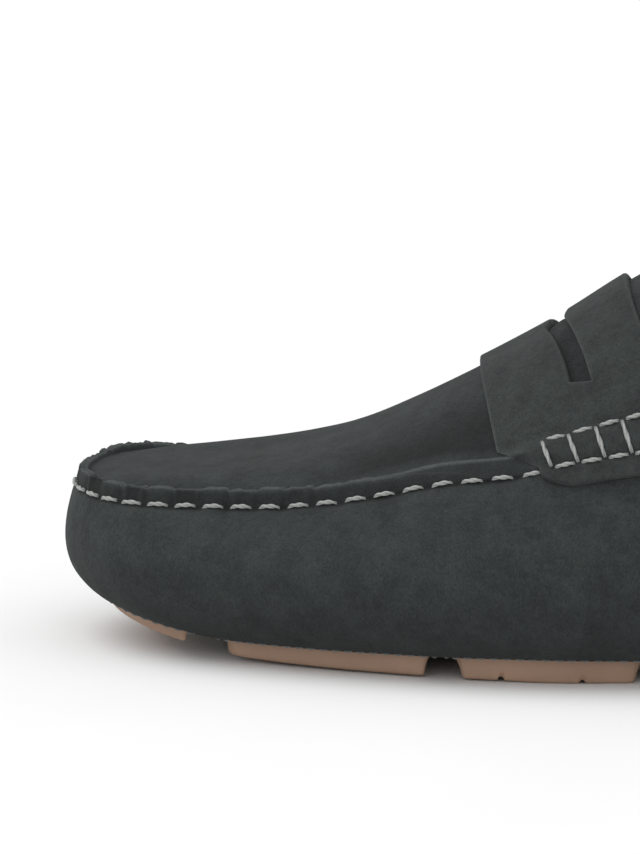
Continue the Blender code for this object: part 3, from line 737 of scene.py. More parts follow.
@dataclass(frozen=True)
class Seam:
    """The hand-sewn seam of the apron, measured along its stitch line from the tip of the toe.

    The stitches grow a little longer towards the strap. Every second one, at the toe, draws the leather in.
    """

    first: float = 7.5 * MM
    pitch: float = 6.31 * MM
    growth: float = 0.0207 * MM
    outer_top: float = 4.0 * MM
    inner_top: float = 5.2 * MM
    outer_fade: Span = (62, 103)
    inner_fade: Span = (10, 46)
    inner_grows: Span = (0, 7)
    widens: Span = (45, 66)
    narrows: Span = (74, 106)
    covered: Span = (103, 107)
    flat_edge: float = 3.0 * MM
    flat_shade: float = 0.45
    band: float = 0.55 * MM
    band_fade: Span = (124, 138)
    sewn_to: float = 107.5
    spread_gain: float = 0.5
    calms: Span = (40, 84)
    calmed_by: float = 0.8
    inner_calm: float = 0.6
    dip_step: float = 1.75
    edge_step: float = 3.9
    # Rows of the seam that take the painted shade of the apron's sides.
    brushed_steps: Span = (3.0, 4.8)
    fuzz: float = 0.10 * MM
    pinch_width: float = 0.11
    draw_half: float = 0.34
    draw_narrows: float = 0.012
    draw_depth: float = 1.15
    draw_fades: float = 0.085
    draw_edge: float = 0.05
    block_change: float = 0.06
    stitches: int = 40
    blocks: int = 80
    seed: int = 11

    @cached_property
    def lengths(self) -> Pair:
        """Length of the seam up to each of the last's apron turns, on the outer and on the inner side."""
        outer, inner = LAST.seams
        return run_along(outer), run_along(inner)

    def run(self, angle: Array) -> Array:
        """Length along the seam from the toe to an angle."""
        outer, inner = (np.interp(np.abs(angle), LAST.apron_turns, length) for length in self.lengths)
        return np.where(np.asarray(angle) >= 0, outer, inner)

    def count(self, angle: Array) -> Array:
        """Stitches up to an angle: a whole number at the middle of each stitch."""
        root = np.sqrt(self.pitch**2 - 4 * self.growth * (self.first - self.run(angle)))
        return (root - self.pitch) / (2 * self.growth)

    def fade(self, angle: Array) -> Array:
        """1 where the seam stands up, falling to 0 where it flattens out towards the strap."""
        station = LAST.station_at(angle)
        outer, inner = ease(station, *self.outer_fade), ease(station, *self.inner_fade)
        return 1 - np.where(np.asarray(angle) >= 0, outer, inner)

    def top(self, angle: Array) -> Array:
        """Height of the raised seam over its stitch line."""
        station = LAST.station_at(angle)
        inner = self.outer_top + (self.inner_top - self.outer_top) * ease(station, *self.inner_grows)
        return np.where(np.asarray(angle) >= 0, self.outer_top, inner) * self.fade(angle)

    def flat_band(self, angle: Array) -> Array:
        """Height of the flat band that is left where the seam has faded."""
        station = LAST.station_at(angle)
        return self.band * (1 - self.fade(angle)) * (1 - ease(station, *self.band_fade))

    def spread(self, angle: Array) -> Array:
        """How much wider the seam lies where it flattens."""
        station = LAST.station_at(angle)
        return 1 + self.spread_gain * (ease(station, *self.widens) - ease(station, *self.narrows))

    def pucker(self, angle: Array) -> Array:
        """How strongly the stitches pucker the leather."""
        return 1 - self.calmed_by * ease(LAST.station_at(angle), *self.calms)

    def beat(self, angle: Array) -> Array:
        """Distance from the nearest gap between stitches, as a share of a stitch."""
        share = self.count(angle) + 0.5
        return share - np.round(share)

    def drawn_in(self, angle: Array) -> Array:
        """1 where a stitch draws the raised edge in, and 0 between."""
        count = self.count(angle)
        odd = 2 * np.round((count - 1) / 2) + 1
        number = np.clip(odd, 0, self.stitches - 1).astype(int)
        side = (np.asarray(angle) < 0).astype(int)
        change = np.random.default_rng(self.seed).uniform(-1, 1, (3, 2, self.stitches))[:, side, number]
        half = np.clip(self.draw_half - self.draw_narrows * count, 0.12, 0.5) * (1 + 0.25 * change[0])
        depth = np.clip(self.draw_depth - self.draw_fades * count, 0, 1) * (0.85 + 0.15 * change[1])
        far = np.abs(count - odd - 0.12 * change[2])
        return depth * (1 - ease(far, half - self.draw_edge, half + self.draw_edge))

    def block(self, angle: Array) -> Array:
        """A number from -1 to 1 that differs for each stitch."""
        table = np.random.default_rng(self.seed + 1).uniform(-1, 1, (2, self.blocks))
        number = np.clip(np.floor(self.count(angle) + 0.5), 0, self.blocks - 1).astype(int)
        return table[(np.asarray(angle) < 0).astype(int), number]

    def centres(self, side: int) -> Array:
        """Angles of the middles of the stitches on the outer side (1) or inner side (-1), up to the strap."""
        number = np.arange(-1, self.stitches)
        runs = self.first + self.pitch * number + self.growth * number**2
        lengths = self.lengths[0 if side > 0 else 1]
        turns = side * np.interp(runs[runs < lengths[-1]], lengths, LAST.apron_turns)
        return turns[LAST.station_at(turns) < self.sewn_to]


SEAM = Seam()


@dataclass(frozen=True)
class Footing:
    """The plan of the wrap's underside, round the windows for the pads."""

    turns: Steps
    share: float
    spacing: float = 1.15 * MM
    grid: float = 3.2 * MM
    clear: float = 3.9 * MM
    lip_steps: Steps = (0.7, 1.2, 2.2, 2.7, 3.2)
    insets: Steps = (5.6, 6.8, 8.0, 9.2)
    stitch_out: float = 2.7 * MM
    stitch_sink: float = 0.3 * MM
    stitch_width: float = 0.4 * MM
    roll_in: float = 0.8 * MM
    roll_reach: Span = (0.2 * MM, 1.1 * MM)

    @cached_property
    def windows(self) -> list[Array]:
        """Closed plan lines of the windows."""
        return [resampled(grown(pad.loop, GAP), self.spacing) for pad in PADS]

    def pad_distance(self, plan: Array) -> Array:
        """Distances of plan points from the nearest pad, and 0 inside it."""
        best = np.full(len(plan), np.inf)
        for pad in PADS:
            loop = resampled(pad.loop, self.spacing)
            best = np.minimum(best, line_distance(plan, loop, closed=True))
            best[is_inside(plan, loop)] = 0
        return best

    def spread(self, rim: Array) -> Array:
        """Points over the underside, away from the windows and the rim."""
        turns = np.array(self.turns)[::2]
        rings = [LAST.inset_line(turns, np.full(len(turns), inset * MM)) for inset in self.insets]
        grid = grid_over(rim, self.grid)
        grid = grid[is_inside(grid, rim)]
        tree = LAST.outline_tree[0]
        deep = np.array([tree.find((x, y, 0))[2] for x, y in grid])
        points = np.concatenate([*rings, grid[deep > self.insets[-1] * MM + self.grid / 2]])
        return points[self.pad_distance(points) > self.clear]

    @cached_property
    def plan(self) -> tuple[Array, Faces, list[int], list[list[int]]]:
        """Points, triangles seen from above, and the numbers of the rim's and of each window's points."""
        rim = LAST.wall(np.array(self.turns), self.share)[:, :2]
        loops = [grown(pad.loop, step * MM) for pad in PADS for step in self.lip_steps]
        lips = [resampled(loop, self.spacing) for loop in loops]
        extra = np.concatenate([*lips, self.spread(rim)])
        points, triangles, made_from = triangulated([rim, *self.windows], extra)
        numbers = []
        start = 0
        for loop in (rim, *self.windows):
            numbers.append([made_from[start + k] for k in range(len(loop))])
            start += len(loop)
        return points, triangles, numbers[0], numbers[1:]

    def relief(self, plan: Array) -> Array:
        """How far the underside stands out: rolled in at the windows and drawn in by the stitches."""
        far = self.pad_distance(plan)
        rolled = self.roll_in * (1 - ease(far, *self.roll_reach))
        return -rolled - self.stitch_sink * bell(far - self.stitch_out, self.stitch_width)


FRONT_STEPS = 280
REAR_STEPS = 150
HALF_RING = LAST.even_turns(FRONT_STEPS, REAR_STEPS)
RING = np.concatenate([HALF_RING, -HALF_RING[-2:0:-1]])
FOOTING = Footing(turns=tuple(RING), share=0.371)


@dataclass
class Skin:
    """One face of the upper's wall, from the windows in its underside to the edge of its opening."""

    outside: bool
    lower_rows: int = 10
    below_rim: Steps = (6.0, 4.0, 2.6, 1.7, 1.1, 0.7, 0.35, 0.0)
    middle_rows: int = 7
    apron_cells: int = 24
    tongue_rows: int = 8
    tongue_reach: float = 12 * MM
    tongue_narrows: float = 0.42
    tongue_rounds: float = 0.30
    tongue_taper: float = 1.5
    lining_steps: Span = (2.5, 8.5)
    seam_sink: float = 0.45 * MM
    seam_width: float = 0.7 * MM
    hole_below: float = 0.2 * MM
    hole_width: float = 0.55 * MM
    hole_beat: float = 0.2
    pleat_depth: float = 0.5 * MM
    pleat_reach: float = 5.5 * MM
    pleated: Span = (30, 72)
    hem: float = 6.0 * MM
    hem_sink: float = 0.25 * MM
    hem_width: float = 0.6 * MM
    hem_grows: Span = (150, 158)
    heel_seam_from: float = 280
    heel_seam_sink: float = 0.4 * MM
    heel_seam_width: float = 1.1 * MM
    wave: float = 0.16 * MM
    wave_turns: float = 45
    # Painted shade on the apron's sides beside the seam, darker towards the seam.
    brushed_shade: float = 0.78
    brushed_across: Span = (0.3, 0.75)
    brushed_from: Span = (50, 74)
    brushed_to: Span = (100, 106)
    slot_at: float = 111.3
    slot_sweep: float = 8.7
    slot_bend: float = 1.15
    slot_ends: Span = (0.66, 0.82)
    slot_bulge: float = 0.7 * MM
    slot_sink: float = 1.3 * MM
    slot_width: float = 3.6
    slot_shade: float = 0.38
    body: Body = field(default_factory=lambda: Body(("raw_edge", "shade")))
    rim: list[int] = field(default_factory=list)
    holes: list[list[int]] = field(default_factory=list)
    edge: list[int] = field(default_factory=list)

    def build(self) -> "Skin":
        """Makes the underside, sides, apron and tongue."""
        self.sides()
        throat = self.apron()
        self.tongue(throat)
        return self

    def below(self) -> list[Array]:
        """Distances below the rim of the rows between the widest line and the rim."""
        height = LAST.side_height(RING)
        first = self.below_rim[0] * MM
        rows = [height + (first - height) * k / self.middle_rows for k in range(self.middle_rows)]
        return rows + [np.full(len(RING), step * MM) for step in self.below_rim]

    def wall_relief(self, point: Array, angle: Array, below: Array) -> Array:
        """How far the wall stands out from the last.

        Args:
            point: Points of the last.
            angle: Their angles round it.
            below: Their distances below the rim.

        Returns:
            Distances along the outward direction.
        """
        station = LAST.station(point[:, 0])
        height = point[:, 2] / MM
        side = np.where(angle >= 0, 1, -1)
        sewn = 1 - ease(station, SEAM.sewn_to - 6, SEAM.sewn_to)
        found = -self.seam_sink * bell(below - self.hole_below, self.seam_width) * sewn
        pleats = (1 - ease(station, *self.pleated)) * np.exp(-below / self.pleat_reach)
        folds = 0.3 - 0.55 * bell(SEAM.beat(angle), self.hole_beat) - 0.6 * SEAM.drawn_in(angle)
        found += self.pleat_depth * pleats * folds
        found -= self.hem_sink * bell(below - self.hem, self.hem_width) * ease(station, *self.hem_grows)
        from_heel = point[:, 1] - LAST.outline(np.array([math.pi]))[0, 1]
        at_heel = station > self.heel_seam_from
        found -= self.heel_seam_sink * bell(from_heel, self.heel_seam_width) * at_heel
        for crease in CREASES:
            line = np.array([crease.start, crease.end], float)
            far = line_distance(np.stack([station, height], axis=1), line)
            found -= crease.depth * MM * bell(far, crease.width) * (side == crease.side)
        run = angle * self.wave_turns
        found += self.wave * np.sin(run * 0.9 + height * 0.11) * np.sin(height * 0.19 + run * 0.31 + 1.3)
        return found

    def stitch_shade(self, point: Array, below: Array) -> Array:
        """Painted shade in the holes between the stitches of the seam."""
        sewn = 1 - ease(LAST.station(point[:, 0]), SEAM.sewn_to - 2, SEAM.sewn_to)
        holes = 0.15 + 0.85 * bell(SEAM.beat(RING), self.hole_beat)
        return sewn * bell(below - self.hole_below, self.hole_width) * holes

    def sides(self) -> None:
        """The underside and the sides, in rings up to the rim."""
        plan, triangles, rim, self.holes = FOOTING.plan
        floor, normal = LAST.underside(plan)
        if self.outside:
            floor = floor + FOOTING.relief(plan)[:, None] * normal
        floor[rim] = LAST.wall(RING, FOOTING.share)
        self.body.add(floor)
        for triangle in triangles:
            self.body.face(triangle[::-1])
        rings = [rim]
        height = LAST.side_height(RING)
        lower = np.linspace(FOOTING.share, 1, self.lower_rows + 1)[1:-1]
        shares = [np.full(len(RING), share) for share in lower]
        shares += [2 - below / height for below in self.below()]
        for share in shares:
            point, _, out = LAST.wall_frame(RING, share)
            below = np.maximum(2 - share, 0) * height
            if self.outside:
                blend = ease(share, FOOTING.share, 0.7)
                point = point + (self.wall_relief(point, RING, below) * blend)[:, None] * out
            rings.append(self.body.add(point, shade=self.stitch_shade(point, below)))
        for lower_ring, upper_ring in zip(rings, rings[1:]):
            self.body.strip(lower_ring, upper_ring, closed=True)
        self.rim = rings[-1]

    def seam_line(self, row: RidgeRow, angles: Array) -> tuple[Array, Array, Array]:
        """Points of one line of the raised seam, how raw its edge is, and its painted shade."""
        fade, pucker = SEAM.fade(angles), SEAM.pucker(angles)
        calm = np.where(angles >= 0, 1.0, SEAM.inner_calm)
        pinch = bell(SEAM.beat(angles), SEAM.pinch_width) * pucker * fade * calm
        drawn = SEAM.drawn_in(angles) * fade * calm
        outer_part = np.clip(1 - row.step / SEAM.dip_step, 0, 1)
        inner_part = np.clip(row.step / SEAM.dip_step - 1, 0, 1) * (row.step < SEAM.edge_step)
        into = 0.35 * pinch * outer_part + 1.5 * drawn * np.sqrt(outer_part) * min(row.rise * 1.6, 1.0)
        inward = row.step * SEAM.spread(angles) + into - 0.25 * pinch * inner_part
        plan = LAST.inset_line(angles, LAST.column("inset", angles) + inward * MM)
        change = 1 - 0.14 * pinch - 0.18 * drawn + SEAM.block_change * SEAM.block(angles) * pucker
        noise = np.random.default_rng(SEAM.seed + int(row.step * 100)).uniform(-1, 1, len(angles))
        base = LAST.apron_height(plan)
        proud = np.maximum(LAST.rim(angles) + SEAM.top(angles) * change - base, 0)
        height = base + row.rise * (proud + SEAM.flat_band(angles)) + SEAM.fuzz * row.raw * noise
        stands = ease(fade, 0.75, 1)
        flat = (1 - stands) * (1 - ease(LAST.station(plan[:, 0]), *SEAM.covered))
        raw = row.raw * stands * (1 - 0.5 * pinch) * (1 - 0.9 * drawn) + row.flat_raw * flat
        # Painted shade: darker on the seam's outer face, more in the drawn-in blocks and pinches, on the flat
        # band and on the apron's sides.
        shade = row.shade * stands * (0.5 + 0.45 * drawn + 0.2 * pinch)
        shade += SEAM.flat_shade * row.flat_shade * flat
        shade += self.brushed(plan) * ease(row.step, *SEAM.brushed_steps)
        return raised(plan, height), raw, shade

    def brushed(self, plan: Array) -> Array:
        """Painted shade on the apron's sides beside the seam, from the forefoot to the strap."""
        along = LAST.station(plan[:, 0])
        place = ease(along, *self.brushed_from) * (1 - ease(along, *self.brushed_to))
        return self.brushed_shade * self.outside * ease(LAST.aside(plan), *self.brushed_across) * place

    def slot_relief(self, plan: Array) -> Pair:
        """How far the apron bulges into the strap's slot or sinks under it, and its painted shade."""
        across = LAST.aside(plan)
        far = LAST.station(plan[:, 0]) - self.slot_at - self.slot_sweep * across**self.slot_bend
        aside = ease(across, 0.1, 0.4)
        within = self.outside * (1 - ease(across, *self.slot_ends))
        near = bell(far, self.slot_width)
        bulge = self.slot_bulge * (1 - aside) * bell(far, 2.0) - self.slot_sink * aside * near
        # The second value is painted shade, darkest under the slot.
        return bulge * within, self.slot_shade * within * near + self.brushed(plan)

    def apron(self) -> list[int]:
        """The apron: lines that follow its seam, then rows across the middle.

        Returns:
            The numbers of the points across the throat.
        """
        turns = np.arange(-FRONT_STEPS, FRONT_STEPS + 1)
        angles = RING[turns]
        lines = [[self.rim[k] for k in turns]]
        plain = np.linspace(*self.lining_steps, len(RIDGE_ROWS))
        for row, step in zip(RIDGE_ROWS, plain):
            if self.outside:
                points, raw, shade = self.seam_line(row, angles)
                lines.append(self.body.add(points, raw_edge=raw, shade=shade))
            else:
                plan = LAST.inset_line(angles, LAST.column("inset", angles) + step * MM)
                lines.append(self.body.add(raised(plan, LAST.apron_height(plan))))
        for outer, inner in zip(lines, lines[1:]):
            self.body.strip(outer, inner)
        last = lines[-1]
        row = [last[FRONT_STEPS]] * (self.apron_cells + 1)
        shares = np.linspace(0, 1, self.apron_cells + 1)[1:-1, None]
        for k in range(1, FRONT_STEPS + 1):
            outer, inner = last[FRONT_STEPS + k], last[FRONT_STEPS - k]
            start, end = np.array(self.body.points[outer]), np.array(self.body.points[inner])
            plan = start[:2] + (end[:2] - start[:2]) * shares
            relief, shade = self.slot_relief(plan)
            middle = self.body.add(raised(plan, LAST.apron_height(plan) + relief), shade=shade)
            following = [outer, *middle, inner]
            self.body.strip(following, row)
            row = following
        outer_side = [line[-1] for line in lines[:-1]]
        inner_side = [line[0] for line in lines[:-1]]
        return [*outer_side, *row, *inner_side[::-1]]

    def tongue(self, throat: list[int]) -> None:
        """The apron's free end, narrowing to a rounded edge, and the edge of the whole opening."""
        base = np.array([self.body.points[k] for k in throat])
        middle = (base[0, 1] + base[-1, 1]) / 2
        half = np.abs(base[0, 1] - middle)
        across = (base[:, 1] - middle) / half
        even = np.linspace(across[0], across[-1], len(across))
        row = throat
        ends = []
        for number in range(1, self.tongue_rows + 1):
            share = number / self.tongue_rows
            blend = ease(share, 0, 1)
            aside = across + (even - across) * blend
            straight = base[0, 0] + (base[-1, 0] - base[0, 0]) * (aside - even[0]) / (even[-1] - even[0])
            x = base[:, 0] + (straight - base[:, 0]) * blend
            x += self.tongue_reach * share * (1 - self.tongue_rounds * share * aside**2)
            y = middle + half * aside * (1 - self.tongue_narrows * share**self.tongue_taper)
            plan = np.stack([x, y], axis=1)
            following = self.body.add(raised(plan, LAST.apron_height(plan)))
            self.body.strip(following, row)
            row = following
            ends.append(row)
        collar = self.rim[FRONT_STEPS : len(RING) - FRONT_STEPS + 1]
        inner_edge = [line[-1] for line in ends]
        outer_edge = [line[0] for line in ends[:-1]][::-1]
        self.edge = [*collar, *inner_edge, *row[-2::-1], *outer_edge]


@dataclass
class Upper:
    """The wrap with its apron and tongue: suede outside, lining inside, with a rolled edge."""

    suede: Material
    lining: Material
    wall: float = 2.0 * MM
    roll_rows: int = 5
    roll_rise: float = 0.8
    roll_raw: float = 0.25
    roll_blend: tuple[tuple[int, float], ...] = ((-2, 0.12), (-1, 0.22), (0, 0.32), (1, 0.22), (2, 0.12))

    def rolled_edge(self, body: Body, outer: list[int], inner: list[int]) -> None:
        """A half-round edge between the two faces of the wall."""
        points = np.array(body.points)
        out, into = points[outer], points[inner]
        tangent = unit(np.roll(out, -1, axis=0) - np.roll(out, 1, axis=0))
        half = (out - into) / 2
        up = unit(np.cross(half, tangent)) * np.linalg.norm(half, axis=1, keepdims=True)
        up = sum(weight * np.roll(up, step, axis=0) for step, weight in self.roll_blend)
        rows = [outer]
        for turn in np.linspace(0, math.pi, self.roll_rows + 2)[1:-1]:
            ring = (out + into) / 2 + half * math.cos(turn) + self.roll_rise * up * math.sin(turn)
            rows.append(body.add(ring, raw_edge=np.full(len(outer), self.roll_raw)))
        for first, second in zip(rows, [*rows[1:], inner]):
            body.strip(first, second, closed=True)

    def build(self) -> Piece:
        """Makes the upper's visible shape."""
        outside = Skin(outside=True).build()
        inside = Skin(outside=False, lower_rows=5, below_rim=(2.6, 0.0), middle_rows=6).build()
        body = outside.body
        lining = np.array(inside.body.points) - self.wall * inside.body.normals()
        shift = len(body.points)
        body.add(lining)
        for face in inside.body.faces:
            body.face(tuple(k + shift for k in face[::-1]), slot=1)
        self.rolled_edge(body, outside.edge, [k + shift for k in inside.edge])
        for low, high in zip(outside.holes, inside.holes):
            body.strip([k + shift for k in high], low, closed=True)
        return body.to_object("suede_upper", [self.suede, self.lining])


@dataclass(frozen=True)
class Edge:
    """A cut across the instep: its stations at the crest, beside the seam and at its end, and its bend."""

    crest: float
    beside: float
    end: float
    bend: float
    corner: float

    step_aside: ClassVar[Span] = (0.88, 0.985)

    def station(self, across: Array, below: Array) -> Array:
        """Stations of the cut at shares of the apron's half width and of the flap below the seam."""
        share = np.minimum(np.abs(across), 1)
        start, end = self.step_aside
        aside = np.clip((share - start) / (end - start), 0, 1)
        bent = self.crest + (self.beside - self.crest) * share**self.bend
        return bent + (self.end - self.beside) * aside + self.corner * below**2


@dataclass
class Strap:
    """The saddle strap over the instep, with its slot, its flaps and the sewn rolls at its ends."""

    suede: Material
    front: Edge = Edge(94.4, 99.0, 107.4, 2.5, 7.5)
    rear: Edge = Edge(127.4, 140.5, 140.5, 2.5, -6.0)
    slot_front: Edge = Edge(109.2, 114.9, 114.9, 1.2, 0.0)
    slot_rear: Edge = Edge(113.4, 119.2, 119.2, 1.4, 0.0)
    slot_reach: float = 0.70
    slot_slant: float = 0.07
    slant_reach: float = 0.16
    flap: float = 4.8 * MM
    thickness: float = 1.7 * MM
    cut_face: float = 0.8 * MM
    edge_round: float = 0.6 * MM
    raw_reach: Span = (0.05 * MM, 0.7 * MM)
    under_raw: float = 0.3
    skived: float = 0.86
    skive_reach: float = 8.0 * MM
    skive_grows: Span = (0.3, 0.62)
    skive_ends: Span = (0.97, 1.0)
    edge_rows: Steps = (0.0, 0.08, 0.25, 0.5, 0.9)
    lane_cells: int = 13
    roll_width: float = 4.0 * MM
    roll_height: float = 0.9 * MM
    roll_grows: float = 1.5 * MM
    pinch_depth: float = 0.6 * MM
    pinch_width: float = 0.9
    row_depth: float = 0.4 * MM
    row_width: float = 0.7 * MM
    first_cross: float = 108.2
    cross_pitch: float = 5.9
    cross_lean: float = 2.1
    crosses: int = 5
    nudge: float = 1e-3

    @cached_property
    def flap_share(self) -> float:
        """The flap below the seam as a share of the height of the side."""
        turn = LAST.turn_at(LAST.place((self.front.end + self.rear.end) / 2))
        side = LAST.wall(turn, 2.0) - LAST.wall(turn, 1.5)
        return float(self.flap / (2 * np.linalg.norm(side)))

    def stations(self, across: Array) -> Pair:
        """Stations of the strap's front and rear edges."""
        below = np.maximum(np.abs(across) - 1, 0) / self.flap_share
        return self.front.station(across, below), self.rear.station(across, below)

    def saddle(self, along: Array, across: Array) -> Array:
        """Points of the upper under the strap.

        Args:
            along: Shares from the front edge (0) to the rear edge (1).
            across: Shares of the apron's half width, and past 1 of the height of the side below the seam.

        Returns:
            Points of the upper's outer face.
        """
        along, across = np.broadcast_arrays(along, across)
        front, rear = self.stations(across)
        x = LAST.place(front + (rear - front) * along)
        outer, inner = LAST.seam_sides(x)
        plan = np.stack([x, (outer + inner) / 2 + np.clip(across, -1, 1) * (inner - outer) / 2], axis=-1)
        top = raised(plan, LAST.apron_height(plan))
        turns = [np.interp(x, seam[:, 0], LAST.apron_turns) for seam in LAST.seams]
        turn = np.where(across > 0, -turns[1], turns[0])
        side = LAST.wall(turn, 2 - np.maximum(np.abs(across) - 1, 0))
        return np.where((np.abs(across) <= 1)[..., None], top, side)

    def saddle_frame(self, along: Array, across: Array) -> Pair:
        """Points of the upper under the strap and their outward directions."""
        step = self.nudge
        ahead = self.saddle(along + step, across) - self.saddle(along - step, across)
        aside = self.saddle(along, across + step) - self.saddle(along, across - step)
        return self.saddle(along, across), unit(np.cross(ahead, aside))

    def slot_lines(self, across: Array) -> Pair:
        """The slot's front and rear lines as shares of the strap's length, carried on past its ends."""
        share = np.minimum(np.abs(across) / self.slot_reach, 1)
        held = np.minimum(np.abs(across), self.slot_reach)
        front, rear = self.stations(held)
        lines = (edge.station(share, np.zeros_like(share)) for edge in (self.slot_front, self.slot_rear))
        first, second = ((line - front) / (rear - front) for line in lines)
        return first, second

    def half_width(self) -> float:
        """Half the width of the apron under the strap."""
        outer, inner = LAST.seam_sides(LAST.place(self.slot_rear.end))
        return float(inner - outer) / 2

    @cached_property
    def across_rows(self) -> Array:
        """Rows of the strap from its outer to its inner end."""
        steps = np.array(self.edge_rows) * MM / self.half_width()
        end = 1 + self.flap_share
        flap_steps = np.array(self.edge_rows) * MM / self.flap * self.flap_share
        half = np.concatenate(
            [
                np.linspace(0, self.slot_reach - steps[-1], 24),
                self.slot_reach - steps[-2:0:-1],
                self.slot_reach + steps,
                np.linspace(self.slot_reach + steps[-1], 1, 22)[1:],
                np.linspace(1, end - flap_steps[-1], 7)[1:],
                end - flap_steps[-2::-1],
            ]
        )
        return np.concatenate([-half[:0:-1], half])

    def lane(self, first: Array, second: Array, size: Array) -> Array:
        """Places along a lane of the strap, closer together near its two edges."""
        steps = np.array(self.edge_rows)[:, None] / size
        middle = np.linspace(0, 1, self.lane_cells)[1:-1, None]
        low, high = first + steps[-1], second - steps[-1]
        return np.concatenate([first + steps, low + (high - low) * middle, second - steps[::-1]])

    def edge_distance(self, along: Array, across: Array, size: Array) -> Array:
        """Distances from the nearest cut edge, in metres."""
        first, second = self.slot_lines(across)
        ahead = np.minimum(along, 1 - along) * size
        beyond = np.maximum(np.maximum(first - along, along - second), 0) * size
        aside = np.maximum(np.abs(across) - self.slot_reach, 0) * self.half_width() / MM
        end = (1 + self.flap_share - np.abs(across)) / self.flap_share * self.flap / MM
        end = np.where(np.abs(across) > 1, end, self.flap / MM)
        return np.minimum(np.minimum(ahead, np.hypot(beyond, aside)), end) * MM

    def roll(self, along: Array, across: Array) -> Array:
        """Height of the sewn rolls between the two rows of stitches at each end."""
        inside = (1 - np.abs(across)) * self.half_width()
        share = inside / self.roll_width
        front, rear = self.stations(across)
        station = front + (rear - front) * along
        bump = np.clip(1 - (2 * share - 1) ** 2, 0, None)
        lean = self.cross_lean * (1 - share)
        places = (station - lean - self.first_cross) / self.cross_pitch
        near = (places - np.round(places)) * self.cross_pitch
        pinched = bell(near, self.pinch_width) * bump * ((places > -0.3) & (places < self.crosses - 0.7))
        lines = bell(inside, self.row_width) + bell(inside - self.roll_width, self.row_width)
        return self.roll_height * bump - self.pinch_depth * pinched - self.row_depth * lines

    def skive(self, ahead: Array, across: Array) -> Array:
        """How much of the strap is pared away towards its front edge, low down on each side."""
        aside = np.abs(across)
        low = ease(aside, *self.skive_grows) * (1 - ease(aside, *self.skive_ends))
        return self.skived * low * (1 - ease(ahead, 0, self.skive_reach))

    def build(self) -> Piece:
        """Makes the strap's visible shape."""
        rows = self.across_rows
        front, rear = self.stations(rows)
        size = np.maximum(rear - front, 1)
        first, second = self.slot_lines(rows)
        ahead = self.lane(np.zeros_like(rows), first, size)
        behind = self.lane(second, np.ones_like(rows), size)
        slot = first + (second - first) * np.linspace(0, 1, 7)[1:-1, None]
        along = np.concatenate([ahead, slot, behind]).T
        across = np.broadcast_to(rows[:, None], along.shape)
        spans = np.broadcast_to(size[:, None], along.shape)
        far = self.edge_distance(along, across, spans)
        ahead_share = 1 - ease(along, np.min(first) - 0.05, np.max(second) + 0.05)
        lean = self.slot_slant * ahead_share * bell(np.abs(across) - self.slot_reach, self.slant_reach)
        slanted = across - np.sign(across) * lean
        point, out = self.saddle_frame(along, slanted)
        rounded = np.sqrt(1 - (1 - np.clip(far / self.edge_round, 0, 1)) ** 2)
        roll = self.roll(along, across) * ease(far, 0, self.roll_grows)
        thin = 1 - self.skive(along * spans * MM, across)
        height = GAP + (self.cut_face + (self.thickness - self.cut_face) * rounded) * thin + roll
        body = Body(("raw_edge", "shade"))
        marks = self.marks(front[:, None] + spans * along, across, far)
        top = np.array(body.add(point + height[..., None] * out, **marks)).reshape(along.shape)
        bottom = np.array(body.add(point + GAP * out, raw_edge=self.under_raw)).reshape(along.shape)
        self.add_faces(body, top, bottom, (len(ahead) - 1, len(ahead) + len(slot)))
        return body.to_object("suede_strap", [self.suede])

    def marks(self, station: Array, across: Array, far: Array) -> dict[str, Array]:
        """Raw edges and painted shade of the strap, with the seam's band carried on over its front corner."""
        raw = (1 - ease(far, *self.raw_reach)) * (0.5 - 0.3 * ease(np.abs(across), 0.9, 1.0))
        inside = (1 - np.abs(across)) * self.half_width()
        band = 1 - ease(station, *SEAM.covered)
        # Painted shade: the flat band's dark tone goes on over the strap's front corner.
        under = band * (inside > 0) * (1 - ease(inside, SEAM.flat_edge - 0.4 * MM, SEAM.flat_edge))
        raw = raw * (1 - under) + 0.8 * band * bell(inside - SEAM.flat_edge, 0.3 * MM)
        return {"raw_edge": np.clip(raw, 0, 1).ravel(), "shade": SEAM.flat_shade * under.ravel()}

    def add_faces(self, body: Body, top: Array, bottom: Array, gap: tuple[int, int]) -> None:
        """Adds the strap's upper and lower faces, round the columns of its slot, and its cut sides."""
        rows = np.abs(self.across_rows)
        for i in range(len(rows) - 1):
            in_slot = max(rows[i], rows[i + 1]) <= self.slot_reach + 1e-9
            for j in range(top.shape[1] - 1):
                if in_slot and gap[0] <= j < gap[1]:
                    continue
                corners = ((i, j), (i, j + 1), (i + 1, j + 1), (i + 1, j))
                body.face(tuple(int(top[corner]) for corner in corners))
                body.face(tuple(int(bottom[corner]) for corner in corners[::-1]))
        half = top.size
        edges = {(f[k], f[(k + 1) % len(f)]) for f in body.faces if max(f) < half for k in range(len(f))}
        for a, b in sorted(edges):
            if (b, a) not in edges:
                body.face((b, a, a + half, b + half))


